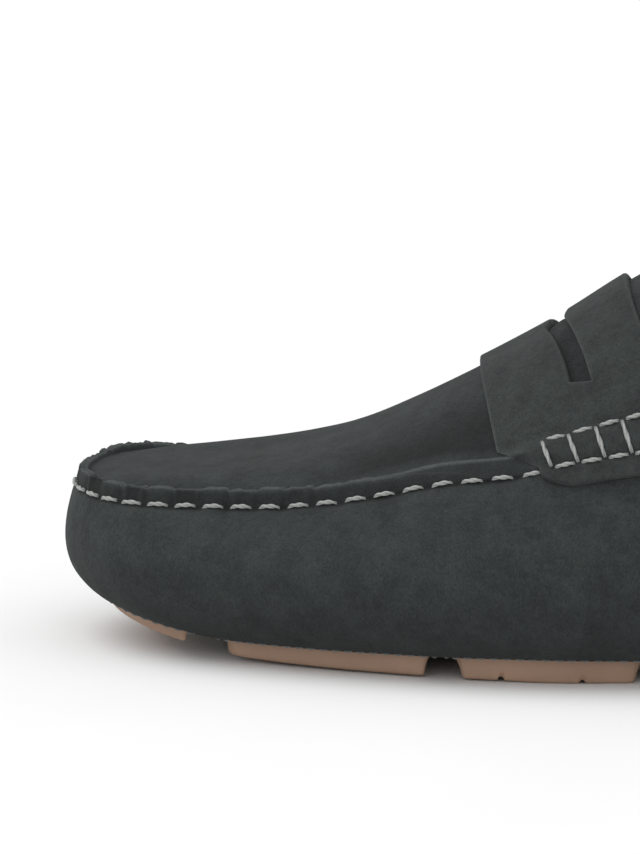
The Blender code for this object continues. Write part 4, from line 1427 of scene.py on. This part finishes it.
@dataclass
class Sole:
    """The rubber sole: grooved pads that come through the wrap, on a thin sheet inside it."""

    rubber: Material
    sheet: float = 1.5 * MM
    sheet_in: float = 10.6 * MM
    sheet_round: float = 0.2 * MM
    wall: float = Upper.wall
    edge_round: float = 0.8 * MM
    edge_rings: Steps = (0.12, 0.32, 0.6, 0.85)
    groove_depth: float = 1.1 * MM
    groove_floor: float = 0.35 * MM
    groove_top: float = 0.85 * MM
    groove_rows: Steps = (0.0, 0.33, 0.6, 0.87, 1.15)
    grid: float = 2.4 * MM
    side_rows: Steps = (0.35, 0.7, 1.0)
    side_draft: float = 0.35 * MM
    end_draft: float = 1.7 * MM
    upright_before: float = 60

    def foot_loop(self, pad: Pad) -> Array:
        """The pad's outline at the floor, drawn in by its sloping sides and ends."""
        out = grown(pad.loop, 1.0) - pad.loop
        ends = out[:, :1]
        if pad.start < self.upright_before:
            ends = np.maximum(ends, 0)
        elif pad.tread is Tread.ARC:
            ends = np.maximum(-ends, 0)
        draft = self.side_draft + self.end_draft * ends**2
        return pad.loop - draft * out

    def tread_height(self, loop: Array, plan: Array, lines: list[Array]) -> Pair:
        """Height of a pad's face over its lowest plane, and the share of a groove's depth."""
        far = line_distance(plan, loop, closed=True)
        edge = self.edge_round - np.sqrt(self.edge_round**2 - np.clip(self.edge_round - far, 0, None) ** 2)
        near = np.full(len(plan), np.inf)
        for line in lines:
            near = np.minimum(near, line_distance(plan, line))
        groove = self.groove_depth * (1 - ease(near, self.groove_floor, self.groove_top))
        return np.maximum(edge, groove), groove / self.groove_depth

    def face_points(self, loop: Array, lines: list[Array]) -> Array:
        """Points over a pad's face: rings inside its edge, rows along its grooves, and a grid."""
        rings = [resampled(grown(loop, -step * MM), Pad.groove_step) for step in self.edge_rings]
        rows = []
        for line in lines:
            run = run_along(line)
            at = np.linspace(0, run[-1], int(run[-1] / Pad.groove_step) + 2)
            path = np.stack([np.interp(at, run, line[:, k]) for k in (0, 1)], axis=1)
            along = unit(np.gradient(path, axis=0))
            aside = np.stack([-along[:, 1], along[:, 0]], axis=1)
            rows += [path + way * step * MM * aside for step in self.groove_rows for way in (1, -1)]
        grid = grid_over(loop, self.grid)
        for line in lines:
            grid = grid[line_distance(grid, line) > self.groove_rows[-1] * MM + 0.4 * MM]
        inner = np.concatenate([*rows, grid])
        inner = inner[is_inside(inner, loop)]
        inner = inner[line_distance(inner, loop, closed=True) > self.edge_rings[-1] * MM + 0.15 * MM]
        return np.concatenate([*rings, inner])

    def add_pad(self, body: Body, pad: Pad) -> None:
        """Adds one pad, closed on all sides."""
        lines = list(pad.grooves())
        loop = self.foot_loop(pad)
        plan, triangles, made_from = triangulated([loop], self.face_points(loop, lines))
        height, groove = self.tread_height(loop, plan, lines)
        face = body.add(raised(plan, LAST.lift(plan[:, 0]) + height), groove=groove)
        for triangle in triangles:
            body.face(tuple(face[k] for k in triangle[::-1]))
        bottom = [face[made_from[k]] for k in range(len(loop))]
        level = np.array([body.points[k][2] for k in bottom])
        base = LAST.base(pad.loop[:, 0])
        rows = [bottom]
        for share in self.side_rows:
            side = loop + (pad.loop - loop) * share
            rows.append(body.add(raised(side, level + (base - level) * share)))
        rows.append(body.add(raised(pad.loop, base + self.wall + GAP + self.sheet / 2)))
        for first, second in zip(rows, rows[1:]):
            body.strip(first, second, closed=True)
        body.face(tuple(rows[-1]))

    def build(self) -> Piece:
        """Makes the sole's visible shape."""
        body = Body(("groove",))
        for pad in PADS:
            self.add_pad(body, pad)
        low = self.wall + GAP
        add_slab(body, self.sheet_in, low, low + self.sheet, self.sheet_round)
        return body.to_object("rubber_sole", [self.rubber], sharp=math.radians(60))


SLAB_CUTS = 90
SLAB_END_TURN = 0.10


def add_slab(body: Body, inset: float, low: float, high: float, rounding: float) -> None:
    """Adds a layer over the underside, rounded along its upper edges.

    Args:
        body: The body that it is added to.
        inset: How far its edge lies in from the widest line.
        low: Height of its lower face over the wrap's outer face.
        high: Height of its upper face.
        rounding: Radius of its upper edges.
    """
    bends = np.linspace(0, math.pi / 2, 6)
    drawn, dropped = (rounding * (1 - turned(bends)) for turned in (np.cos, np.sin))
    across = np.linspace(0, 1, 12)[1:-1, None]
    sections = []
    for turn in np.linspace(SLAB_END_TURN, math.pi - SLAB_END_TURN, SLAB_CUTS):
        ends = LAST.inset_line(np.array([turn, -turn]), np.array([inset, inset]))
        under = LAST.base(ends[:, 0])
        way = unit(ends[1] - ends[0])
        left = raised(ends[0] + way * drawn[:, None], under[0] + high - dropped)
        right = raised(ends[1] - way * drawn[:, None], under[1] + high - dropped)
        top = left[-1] + (right[-1] - left[-1]) * across
        section = np.concatenate([raised(ends, under + low), right, top[::-1], left[::-1]])
        sections.append(body.add(section))
    body.face(tuple(sections[0]))
    for front, rear in zip(sections, sections[1:]):
        body.strip(rear, front, closed=True)
    body.face(tuple(sections[-1][::-1]))


@dataclass
class Insole:
    """The leather insole on the rubber sheet."""

    leather: Material
    inset: float = 9.0 * MM
    thickness: float = 3.0 * MM
    under: float = Upper.wall + Sole.sheet + 2 * GAP
    rounding: float = 0.9 * MM

    def build(self) -> Piece:
        """Makes the insole's visible shape."""
        body = Body()
        add_slab(body, self.inset, self.under, self.under + self.thickness, self.rounding)
        return body.to_object("leather_insole", [self.leather])


class Graph:
    """Short calls that add nodes to a tree."""

    def __init__(self, tree: NodeTree) -> None:
        """A graph over an emptied tree."""
        self.tree = tree
        tree.nodes.clear()

    def node(self, kind: str, inputs: dict[Any, Any] | None = None, **settings: Any) -> bpy.types.Node:
        """Adds a node.

        Args:
            kind: The node's type.
            inputs: Values for its inputs, or the outputs linked to them.
            settings: Its other settings.

        Returns:
            The node.
        """
        node = self.tree.nodes.new(kind)
        for name, value in settings.items():
            setattr(node, name, value)
        for key, value in (inputs or {}).items():
            if isinstance(value, Socket):
                self.tree.links.new(value, node.inputs[key])
            else:
                node.inputs[key].default_value = value
        return node

    def math(self, operation: str, first: Any, second: Any = 0.0) -> Socket:
        """The result of a sum on one or two values."""
        return self.node("ShaderNodeMath", {0: first, 1: second}, operation=operation).outputs[0]

    def span(self, value: Any, low: float, high: float, to_low: float, to_high: float) -> Socket:
        """A value moved from one range to another and kept inside it."""
        inputs = {0: value, 1: low, 2: high, 3: to_low, 4: to_high}
        return self.node("ShaderNodeMapRange", inputs, clamp=True).outputs[0]

    def mix(self, share: Any, first: Any, second: Any, blend: str = "MIX") -> Socket:
        """A blend of two colours."""
        colours = [(*c, 1.0) if isinstance(c, tuple) and len(c) == 3 else c for c in (first, second)]
        inputs = {0: share, 6: colours[0], 7: colours[1]}
        return self.node("ShaderNodeMix", inputs, data_type="RGBA", blend_type=blend).outputs[2]

    def noise(self, scale: Any, detail: float = 3.0, rough: float = 0.55, stretch: Any = None) -> Socket:
        """Noise over the piece's own coordinates, about 0.5 on average."""
        place = self.node("ShaderNodeTexCoord").outputs["Object"]
        if stretch is not None:
            place = self.node("ShaderNodeMapping", {"Vector": place, "Scale": stretch}).outputs[0]
        inputs = {"Vector": place, "Scale": scale, "Detail": detail, "Roughness": rough}
        return self.node("ShaderNodeTexNoise", inputs).outputs[0]

    def mark(self, name: str) -> Socket:
        """A mark kept on the mesh."""
        return self.node("ShaderNodeAttribute", attribute_name=name).outputs["Fac"]


def effect(name: str, inputs: dict[str, float], outputs: tuple[str, ...]) -> tuple[NodeTree, Graph, Any]:
    """A new node group for an effect that several finishes share.

    Args:
        name: The group's name.
        inputs: Its number inputs and their usual values.
        outputs: Its outputs, all numbers but a normal.

    Returns:
        The group, a graph over it, and its inputs, to link from.
    """
    tree = bpy.data.node_groups.new(name, "ShaderNodeTree")
    for label, value in inputs.items():
        tree.interface.new_socket(label, in_out="INPUT", socket_type="NodeSocketFloat").default_value = value
    for label in outputs:
        kind = "NodeSocketVector" if label == "Normal" else "NodeSocketFloat"
        tree.interface.new_socket(label, in_out="OUTPUT", socket_type=kind)
    graph = Graph(tree)
    return tree, graph, graph.node("NodeGroupInput").outputs


class Effects:
    """The node groups that the finishes share."""

    def __init__(self) -> None:
        """Makes the groups."""
        self.nap = self.make_nap()
        self.grain = self.make_grain()
        self.handling = self.make_handling()

    @staticmethod
    def make_nap() -> NodeTree:
        """Short fibres lying in brushed patches."""
        scales = {"Patches": 130.0, "Fibres": 2600.0, "Depth": 0.0003}
        tree, graph, given = effect("nap", scales, ("Patch", "Fibre", "Normal"))
        broad = graph.noise(given["Patches"], 4.0, 0.6)
        middle = graph.noise(graph.math("MULTIPLY", given["Patches"], 4.3), 3.0, 0.6)
        patch = graph.math("ADD", graph.math("MULTIPLY", broad, 0.62), graph.math("MULTIPLY", middle, 0.38))
        fibre = graph.noise(given["Fibres"], 3.0, 0.7, (1.0, 1.0, 0.55))
        height = graph.math("ADD", fibre, graph.math("MULTIPLY", middle, 1.2))
        bump = graph.node("ShaderNodeBump", {"Strength": 0.75, "Distance": given["Depth"], "Height": height})
        graph.node("NodeGroupOutput", {"Patch": patch, "Fibre": fibre, "Normal": bump.outputs[0]})
        return tree

    @staticmethod
    def make_grain() -> NodeTree:
        """Fine pebbles and faint cloudiness of smooth leather or rubber."""
        scales = {"Pebbles": 900.0, "Depth": 0.00012}
        tree, graph, given = effect("grain", scales, ("Cloud", "Normal"))
        cloud = graph.noise(60.0, 4.0, 0.6)
        pebble = graph.noise(given["Pebbles"], 2.0, 0.5)
        bump = graph.node("ShaderNodeBump", {"Strength": 0.6, "Distance": given["Depth"], "Height": pebble})
        graph.node("NodeGroupOutput", {"Cloud": cloud, "Normal": bump.outputs[0]})
        return tree

    @staticmethod
    def make_handling() -> NodeTree:
        """Where cut edges show their fuzz, and painted shade that darkens the suede towards the floor."""
        tree, graph, given = effect("handling", {"Top": 0.028}, ("Raw", "Low"))
        fuzz = graph.span(graph.noise(1400.0, 3.0, 0.7), 0.3, 0.7, 0.35, 1.0)
        raw = graph.math("MULTIPLY", graph.mark("raw_edge"), fuzz)
        place = graph.node("ShaderNodeTexCoord").outputs["Object"]
        height = graph.node("ShaderNodeSeparateXYZ", {0: place}).outputs[2]
        # Painted shade: darker below the top height, towards the floor.
        low = graph.math("SUBTRACT", 1.0, graph.math("DIVIDE", height, given["Top"]))
        low = graph.math("MULTIPLY", graph.span(low, 0.0, 1.0, 0.0, 1.0), graph.noise(420.0, 3.0, 0.6))
        graph.node("NodeGroupOutput", {"Raw": raw, "Low": low})
        return tree


@dataclass(frozen=True)
class Finish:
    """A material's name, main colour and roughness."""

    name: str
    colour: Colour
    roughness: float
    gloss: float = 0.3

    def make(self, effects: Effects) -> Material:
        """Makes the material."""
        material = bpy.data.materials.new(self.name)
        material.use_nodes = True
        graph = Graph(material.node_tree)
        inputs = {"Roughness": self.roughness, "Specular IOR Level": self.gloss}
        shader = graph.node("ShaderNodeBsdfPrincipled", {**inputs, **self.look(graph, effects)})
        graph.node("ShaderNodeOutputMaterial", {"Surface": shader.outputs[0]})
        return material

    def look(self, graph: Graph, effects: Effects) -> dict[str, Any]:
        """The shader's colour, and its relief where it has any."""
        raise NotImplementedError

    def tint(self, share: float) -> Colour:
        """The main colour made darker or lighter."""
        return tuple(share * c for c in self.colour)

    def clouded(self, graph: Graph, cloud: Any, dark: float, light: float) -> Socket:
        """The main colour, darker and lighter in the clouds of a noise."""
        return graph.mix(graph.span(cloud, 0.3, 0.7, 0.0, 1.0), self.tint(dark), self.tint(light))


@dataclass(frozen=True)
class Suede(Finish):
    """Brushed suede with fuzzy cut edges."""

    gloss: float = 0.12
    depth: float = 0.00032
    dark: float = 0.72
    light: float = 1.28
    raw_gain: float = 2.8
    low_gain: float = 0.45
    shade_gain: float = 0.3
    sheen: float = 0.03
    sheen_roughness: float = 0.55

    def look(self, graph: Graph, effects: Effects) -> dict[str, Any]:
        """The shader's colour and relief."""
        nap = graph.node("ShaderNodeGroup", node_tree=effects.nap)
        nap.inputs["Depth"].default_value = self.depth
        handling = graph.node("ShaderNodeGroup", node_tree=effects.handling)
        patch = graph.span(nap.outputs["Patch"], 0.32, 0.68, 0.0, 1.0)
        colour = graph.mix(patch, self.tint(self.dark), self.tint(self.light))
        fibre = graph.span(nap.outputs["Fibre"], 0.3, 0.7, self.dark, self.light)
        grey = graph.node("ShaderNodeCombineColor", {0: fibre, 1: fibre, 2: fibre}).outputs[0]
        colour = graph.mix(1.0, colour, grey, "MULTIPLY")
        colour = graph.mix(handling.outputs["Raw"], colour, self.tint(self.raw_gain))
        # Painted shade: the suede grows darker towards the floor.
        colour = graph.mix(handling.outputs["Low"], colour, self.tint(self.low_gain))
        # Painted shade from the mesh's shade mark.
        shade = graph.math("MULTIPLY", graph.mark("shade"), 0.8)
        colour = graph.mix(shade, colour, self.tint(self.shade_gain))
        sheen = {"Sheen Weight": self.sheen, "Sheen Roughness": self.sheen_roughness}
        return {"Base Color": colour, "Normal": nap.outputs["Normal"], **sheen}


@dataclass(frozen=True)
class Rubber(Finish):
    """Matt gum rubber, browner in its grooves."""

    gloss: float = 0.35
    groove_colour: Colour = (0.22, 0.12, 0.065)

    def look(self, graph: Graph, effects: Effects) -> dict[str, Any]:
        """The shader's colour and relief."""
        grain = graph.node("ShaderNodeGroup", node_tree=effects.grain)
        colour = self.clouded(graph, grain.outputs["Cloud"], 0.9, 1.08)
        colour = graph.mix(graph.math("MULTIPLY", graph.mark("groove"), 0.8), colour, self.groove_colour)
        return {"Base Color": colour, "Normal": grain.outputs["Normal"]}


@dataclass(frozen=True)
class Leather(Finish):
    """Plain lining leather."""

    def look(self, graph: Graph, effects: Effects) -> dict[str, Any]:
        """The shader's colour and relief."""
        grain = graph.node("ShaderNodeGroup", node_tree=effects.grain)
        colour = self.clouded(graph, grain.outputs["Cloud"], 0.85, 1.1)
        return {"Base Color": colour, "Normal": grain.outputs["Normal"]}


@dataclass(frozen=True)
class Yarn(Finish):
    """Waxed thread, with painted shade where its plies meet and where it dips into the leather."""

    gloss: float = 0.25
    valley: Colour = (0.05, 0.055, 0.055)

    def look(self, graph: Graph, effects: Effects) -> dict[str, Any]:
        """The shader's colour and relief."""
        colour = self.clouded(graph, graph.noise(3200.0, 2.0, 0.6), 0.8, 1.12)
        # Painted shade where the plies meet and where the stitch dips into the leather.
        colour = graph.mix(graph.math("MULTIPLY", graph.mark("valley"), 0.55), colour, self.valley)
        return {"Base Color": colour}


@dataclass(frozen=True)
class Paper(Finish):
    """The pale studio floor, with a faint unevenness."""

    gloss: float = 0.1

    def look(self, graph: Graph, effects: Effects) -> dict[str, Any]:
        """The shader's colour and relief."""
        colour = self.clouded(graph, graph.noise(9.0, 2.0, 0.5), 0.985, 1.015)
        return {"Base Color": colour}


SUEDE = Suede("suede", (0.0318, 0.0365, 0.0360), 0.95)
STRAP_SUEDE = Suede("strap_suede", (0.0330, 0.0376, 0.0367), 0.95)
RUBBER = Rubber("rubber", (0.33, 0.215, 0.15), 0.6)
LINING = Leather("lining", (0.36, 0.24, 0.14), 0.65)
INSOLE = Leather("insole", (0.42, 0.27, 0.15), 0.6)
SEAM_YARN = Yarn("seam_thread", (0.33, 0.34, 0.33), 0.7)
FINE_YARN = Yarn("fine_thread", (0.14, 0.148, 0.144), 0.7)
PAPER = Paper("floor", (0.84, 0.84, 0.84), 0.9)


@dataclass(frozen=True)
class Thread:
    """One stitch of twisted plies, of length 1 along X, dipping into the leather at both ends."""

    plies: int
    radius: float
    dip: float
    segments: int
    sides: int
    offset: float = 0.0
    turns: float = 0.0
    rise: float = 0.16 * MM

    def build(self, name: str) -> Piece:
        """Makes the stitch that is laid at each point."""
        body = Body(("valley",))
        along = np.linspace(-0.5, 0.5, self.segments + 1)
        round_angles = np.arange(self.sides) * 2 * math.pi / self.sides
        for ply in range(self.plies):
            rings = []
            for x in along:
                twist = 2 * math.pi * (self.turns * x + ply / self.plies)
                ends = abs(2 * x) ** 4
                centre_y = self.offset * math.cos(twist)
                centre_z = self.offset * math.sin(twist) + self.rise * (1 - (2 * x) ** 2) - self.dip * ends
                radius = self.radius * (1 - 0.6 * abs(2 * x) ** 3)
                y = centre_y + radius * np.cos(round_angles)
                z = centre_z + radius * np.sin(round_angles)
                # Painted shade where the plies meet and where the stitch dips into the leather.
                inward = np.clip(-np.cos(round_angles - twist), 0, 1) * (self.plies > 1)
                points = np.stack([np.full(self.sides, x), y, z], axis=1)
                rings.append(body.add(points, valley=np.clip(inward + 0.8 * ends, 0, 1)))
            for first, second in zip(rings, rings[1:]):
                body.strip(second, first, closed=True)
            body.face(tuple(rings[0][::-1]))
            body.face(tuple(rings[-1]))
        return body.to_object(name, [])


HAND_STITCH = Thread(
    plies=2, radius=0.38 * MM, dip=0.45 * MM, segments=12, sides=6, offset=0.17 * MM, turns=1.1
)
MACHINE_STITCH = Thread(plies=1, radius=0.27 * MM, dip=0.35 * MM, segments=5, sides=5)


STITCH_MARKS = {"along": "FLOAT_VECTOR", "out": "FLOAT_VECTOR", "reach": "FLOAT"}


def stitch_tree() -> NodeTree:
    """The node tree that lays a stitch at each marked point."""
    tree = bpy.data.node_groups.new("stitches", "GeometryNodeTree")
    sockets = {
        "Points": "NodeSocketGeometry",
        "Thread": "NodeSocketObject",
        "Finish": "NodeSocketMaterial",
        "Jitter": "NodeSocketFloat",
        "Seed": "NodeSocketInt",
    }
    for label, kind in sockets.items():
        tree.interface.new_socket(label, in_out="INPUT", socket_type=kind)
    tree.interface.new_socket("Stitches", in_out="OUTPUT", socket_type="NodeSocketGeometry")
    graph = Graph(tree)
    given = graph.node("NodeGroupInput").outputs
    along, out, reach = (
        graph.node("GeometryNodeInputNamedAttribute", {"Name": name}, data_type=kind).outputs[0]
        for name, kind in STITCH_MARKS.items()
    )
    turn = graph.node("FunctionNodeAxesToRotation", {0: along, 1: out}, primary_axis="X", secondary_axis="Z")
    size = graph.node("ShaderNodeCombineXYZ", {0: reach, 1: 1.0, 2: 1.0})
    thread = graph.node("GeometryNodeObjectInfo", {"Object": given["Thread"]})
    inputs = {"Points": given["Points"], "Instance": thread.outputs["Geometry"]}
    inputs |= {"Rotation": turn.outputs[0], "Scale": size.outputs[0]}
    laid = graph.node("GeometryNodeInstanceOnPoints", inputs)
    limits = {0: (-1, -1, -1), 1: (1, 1, 1), "Seed": given["Seed"]}
    chance = graph.node("FunctionNodeRandomValue", limits, data_type="FLOAT_VECTOR")
    amount = {0: chance.outputs[0], "Scale": given["Jitter"]}
    shake = graph.node("ShaderNodeVectorMath", amount, operation="SCALE")
    shaken = {"Instances": laid.outputs[0], "Rotation": shake.outputs[0]}
    turned = graph.node("GeometryNodeRotateInstances", shaken)
    plain = graph.node("GeometryNodeRealizeInstances", {"Geometry": turned.outputs[0]})
    smooth = graph.node("GeometryNodeSetShadeSmooth", {"Geometry": plain.outputs[0]})
    dressed = {"Geometry": smooth.outputs[0], "Material": given["Finish"]}
    coloured = graph.node("GeometryNodeSetMaterial", dressed)
    graph.node("NodeGroupOutput", {"Stitches": coloured.outputs[0]})
    return tree


@dataclass
class Stitches:
    """Places of stitches: their middles, directions and lengths."""

    name: str
    thread: Thread
    finish: Material
    jitter: float
    seed: int
    rows: list[tuple[Array, ...]] = field(default_factory=list)

    def add(self, middle: Array, along: Array, out: Array, reach: Any) -> None:
        """Keeps a row of stitches."""
        self.rows.append((middle, along, out, np.broadcast_to(reach, len(middle))))

    def between(self, start: Array, end: Array, out: Array, share: float) -> None:
        """Keeps stitches that cover a share of the way between pairs of holes."""
        way = end - start
        self.add((start + end) / 2, unit(way), out, share * np.linalg.norm(way, axis=1))

    def build(self, tree: NodeTree) -> Piece:
        """Lays the thread and makes it one plain mesh."""
        mesh = bpy.data.meshes.new(self.name)
        middles, *marks = (np.concatenate(column) for column in zip(*self.rows))
        mesh.from_pydata(middles.tolist(), [], [])
        for (label, kind), values in zip(STITCH_MARKS.items(), marks):
            kept = mesh.attributes.new(label, kind, "POINT")
            kept.data.foreach_set("value" if kind == "FLOAT" else "vector", values.ravel())
        points = placed(f"{self.name}_points", mesh)
        template = self.thread.build(f"{self.name}_thread")
        modifier = points.modifiers.new("stitches", "NODES")
        modifier.node_group = tree
        values = {"Thread": template, "Finish": self.finish, "Jitter": self.jitter, "Seed": self.seed}
        for item in tree.interface.items_tree:
            if item.in_out == "INPUT" and item.name in values:
                modifier[item.identifier] = values[item.name]
        graph = bpy.context.evaluated_depsgraph_get()
        plain = bpy.data.meshes.new_from_object(points.evaluated_get(graph))
        plain.name = self.name
        for unused in (points, template):
            bpy.data.objects.remove(unused, do_unlink=True)
        return placed(self.name, plain)


@dataclass
class Stitching:
    """All the rows of thread on the shoe."""

    effects: Effects
    strap: Strap
    seam_reach: float = 4.9 * MM
    pad_pitch: float = 2.9 * MM
    pad_reach: float = 2.3 * MM
    hem_pitch: float = 3.0 * MM
    hem_share: float = 0.78
    hem_from: float = 153
    hem_sink: float = 0.1 * MM
    pad_sink: float = 0.12 * MM
    lift: float = 0.1 * MM
    row_share: float = 0.76
    cross_share: float = 0.98
    cross_lifts: Span = (0.55 * MM, 0.35 * MM)

    def seam(self, stitches: Stitches) -> None:
        """The hand stitches along the raised seam."""
        for side in (1, -1):
            turns = SEAM.centres(side)
            point, along, out = LAST.wall_frame(turns, 2.0)
            stitches.add(point + self.lift * out, along, out, self.seam_reach)

    def ladder(self, stitches: Stitches) -> None:
        """The two rows and the crosses at each end of the strap."""
        strap = self.strap
        tops = strap.first_cross + strap.cross_pitch * np.arange(strap.crosses)
        feet = tops + strap.cross_lean
        for side in (-1, 1):
            upper, upper_out = self.on_strap(tops, strap.roll_width, side)
            lower, lower_out = self.on_strap(feet, 0.0, side)
            for row, row_out in ((upper, upper_out), (lower, lower_out)):
                stitches.between(row[:-1], row[1:], row_out[:-1], self.row_share)
            out = unit(upper_out + lower_out)
            high, low = (lift * out for lift in self.cross_lifts)
            stitches.between(upper + high, lower + low, out, self.cross_share)

    def on_strap(self, station: Array, inside: float, side: int) -> Pair:
        """Points on the strap at stations, a distance inside the seam, and their outward directions."""
        strap = self.strap
        across = np.full(len(station), side * (1 - inside / strap.half_width()))
        front, rear = strap.stations(across)
        point, out = strap.saddle_frame((station - front) / (rear - front), across)
        return point + (GAP + strap.thickness + self.lift) * out, out

    def pads(self, stitches: Stitches) -> None:
        """The fine row round each pad."""
        for pad in PADS:
            plan = resampled(grown(pad.loop, FOOTING.stitch_out), self.pad_pitch)
            point, out = LAST.underside(plan)
            along = unit(np.roll(point, -1, axis=0) - np.roll(point, 1, axis=0))
            stitches.add(point - self.pad_sink * out, along, out, self.pad_reach)

    def hem(self, stitches: Stitches) -> None:
        """The fine row below the edge of the opening."""
        turns = np.concatenate([HALF_RING, 2 * math.pi - HALF_RING[-2:0:-1]])
        turns = turns[LAST.station_at(turns) > self.hem_from]
        height = LAST.side_height(turns)
        share = 2 - Skin.hem / height
        run = run_along(LAST.wall(turns, share))
        places = np.arange(self.hem_pitch, run[-1], self.hem_pitch)
        at = np.interp(places, run, turns)
        point, along, out = LAST.wall_frame(at, np.interp(places, run, share))
        stitches.add(point - self.hem_sink * out, along, out, self.hem_share * self.hem_pitch)

    def build(self) -> list[Piece]:
        """Makes the hand-sewn and the machine-sewn threads."""
        tree = stitch_tree()
        hand = Stitches("hand_stitches", HAND_STITCH, SEAM_YARN.make(self.effects), 0.06, 3)
        fine = Stitches("fine_stitches", MACHINE_STITCH, FINE_YARN.make(self.effects), 0.05, 7)
        self.seam(hand)
        self.ladder(hand)
        self.pads(fine)
        self.hem(fine)
        return [hand.build(tree), fine.build(tree)]


@dataclass(frozen=True)
class Lamp:
    """A broad soft light that shines down from a heading, with its angles in degrees."""

    name: str
    tilt: float
    heading: float
    strength: float
    spread: float

    def build(self) -> None:
        """Adds the light to the scene."""
        data = bpy.data.lights.new(self.name, "SUN")
        data.energy = self.strength
        data.angle = math.radians(self.spread)
        turn = Matrix.Rotation(math.radians(self.heading), 4, "Z")
        placed(self.name, data).matrix_world = turn @ Matrix.Rotation(math.radians(self.tilt), 4, "X")


LAMPS = (
    Lamp("key", tilt=34.0, heading=-96.0, strength=1.25, spread=50.0),
    Lamp("fill", tilt=60.0, heading=-25.0, strength=0.6, spread=80.0),
)


@dataclass
class Studio:
    """The floor, lights and camera."""

    floor_size: float = 8.0
    target: tuple[float, float, float] = (-0.08735, 0.0, 0.0499)
    distance: float = 4.0
    elevation: float = 12.0
    roll: float = 1.0
    frame_height: float = 0.1941
    sensor: float = 36.0
    sky_strength: float = 0.80

    def floor(self, material: Material) -> Piece:
        """The plain pale floor."""
        corners = np.array([(-1, -1, 0), (1, -1, 0), (1, 1, 0), (-1, 1, 0)]) * self.floor_size / 2
        body = Body()
        body.face(tuple(body.add(corners)))
        return body.to_object("floor", [material])

    def sky(self) -> None:
        """Weak even light, with white behind the floor."""
        world = bpy.data.worlds.new("studio")
        world.use_nodes = True
        graph = Graph(world.node_tree)
        seen = graph.node("ShaderNodeLightPath").outputs["Is Camera Ray"]
        level = graph.span(seen, 0.0, 1.0, self.sky_strength, 1.0)
        back = graph.node("ShaderNodeBackground", {"Color": (1, 1, 1, 1), "Strength": level})
        graph.node("ShaderNodeOutputWorld", {"Surface": back.outputs[0]})
        bpy.context.scene.world = world

    def camera(self) -> None:
        """A long lens at the photo's angle."""
        data = bpy.data.cameras.new("camera")
        data.sensor_width = self.sensor
        data.lens = self.sensor * self.distance / self.frame_height
        data.clip_end = 50
        camera = placed("camera", data)
        tilt = math.radians(90 - self.elevation)
        turn = Matrix.Rotation(tilt, 4, "X") @ Matrix.Rotation(math.radians(self.roll), 4, "Z")
        back = Vector((0, -math.cos(math.radians(self.elevation)), math.sin(math.radians(self.elevation))))
        camera.matrix_world = Matrix.Translation(Vector(self.target) + self.distance * back) @ turn
        bpy.context.scene.camera = camera

    def build(self, material: Material) -> Piece:
        """Sets up the studio and returns its floor."""
        bpy.context.scene.view_settings.view_transform = "Standard"
        for lamp in LAMPS:
            lamp.build()
        self.sky()
        self.camera()
        return self.floor(material)


def show(piece: Piece, node: str | None) -> None:
    """Puts a piece on the shoe's body in place of a solid, and logs it."""
    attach(piece, BODY)
    if node is not None:
        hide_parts(node)
    piece.data.calc_loop_triangles()
    log.info("%s: %d triangles", piece.name, len(piece.data.loop_triangles))


def main() -> None:
    """Builds the shoe's visible pieces, then the studio."""
    logging.basicConfig(level=logging.INFO, format="%(message)s")
    effects = Effects()
    strap = Strap(STRAP_SUEDE.make(effects))
    upper = Upper(SUEDE.make(effects), LINING.make(effects)).build()
    sole = Sole(RUBBER.make(effects)).build()
    insole = Insole(INSOLE.make(effects)).build()
    saddle = strap.build()
    show(upper, "upper")
    show(saddle, "strap")
    show(sole, "sole")
    show(insole, "insole")
    threads = Stitching(effects, strap).build()
    for thread in threads:
        show(thread, None)
    Studio().build(PAPER.make(effects))
    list(threads)


if __name__ == "__main__":
    main()
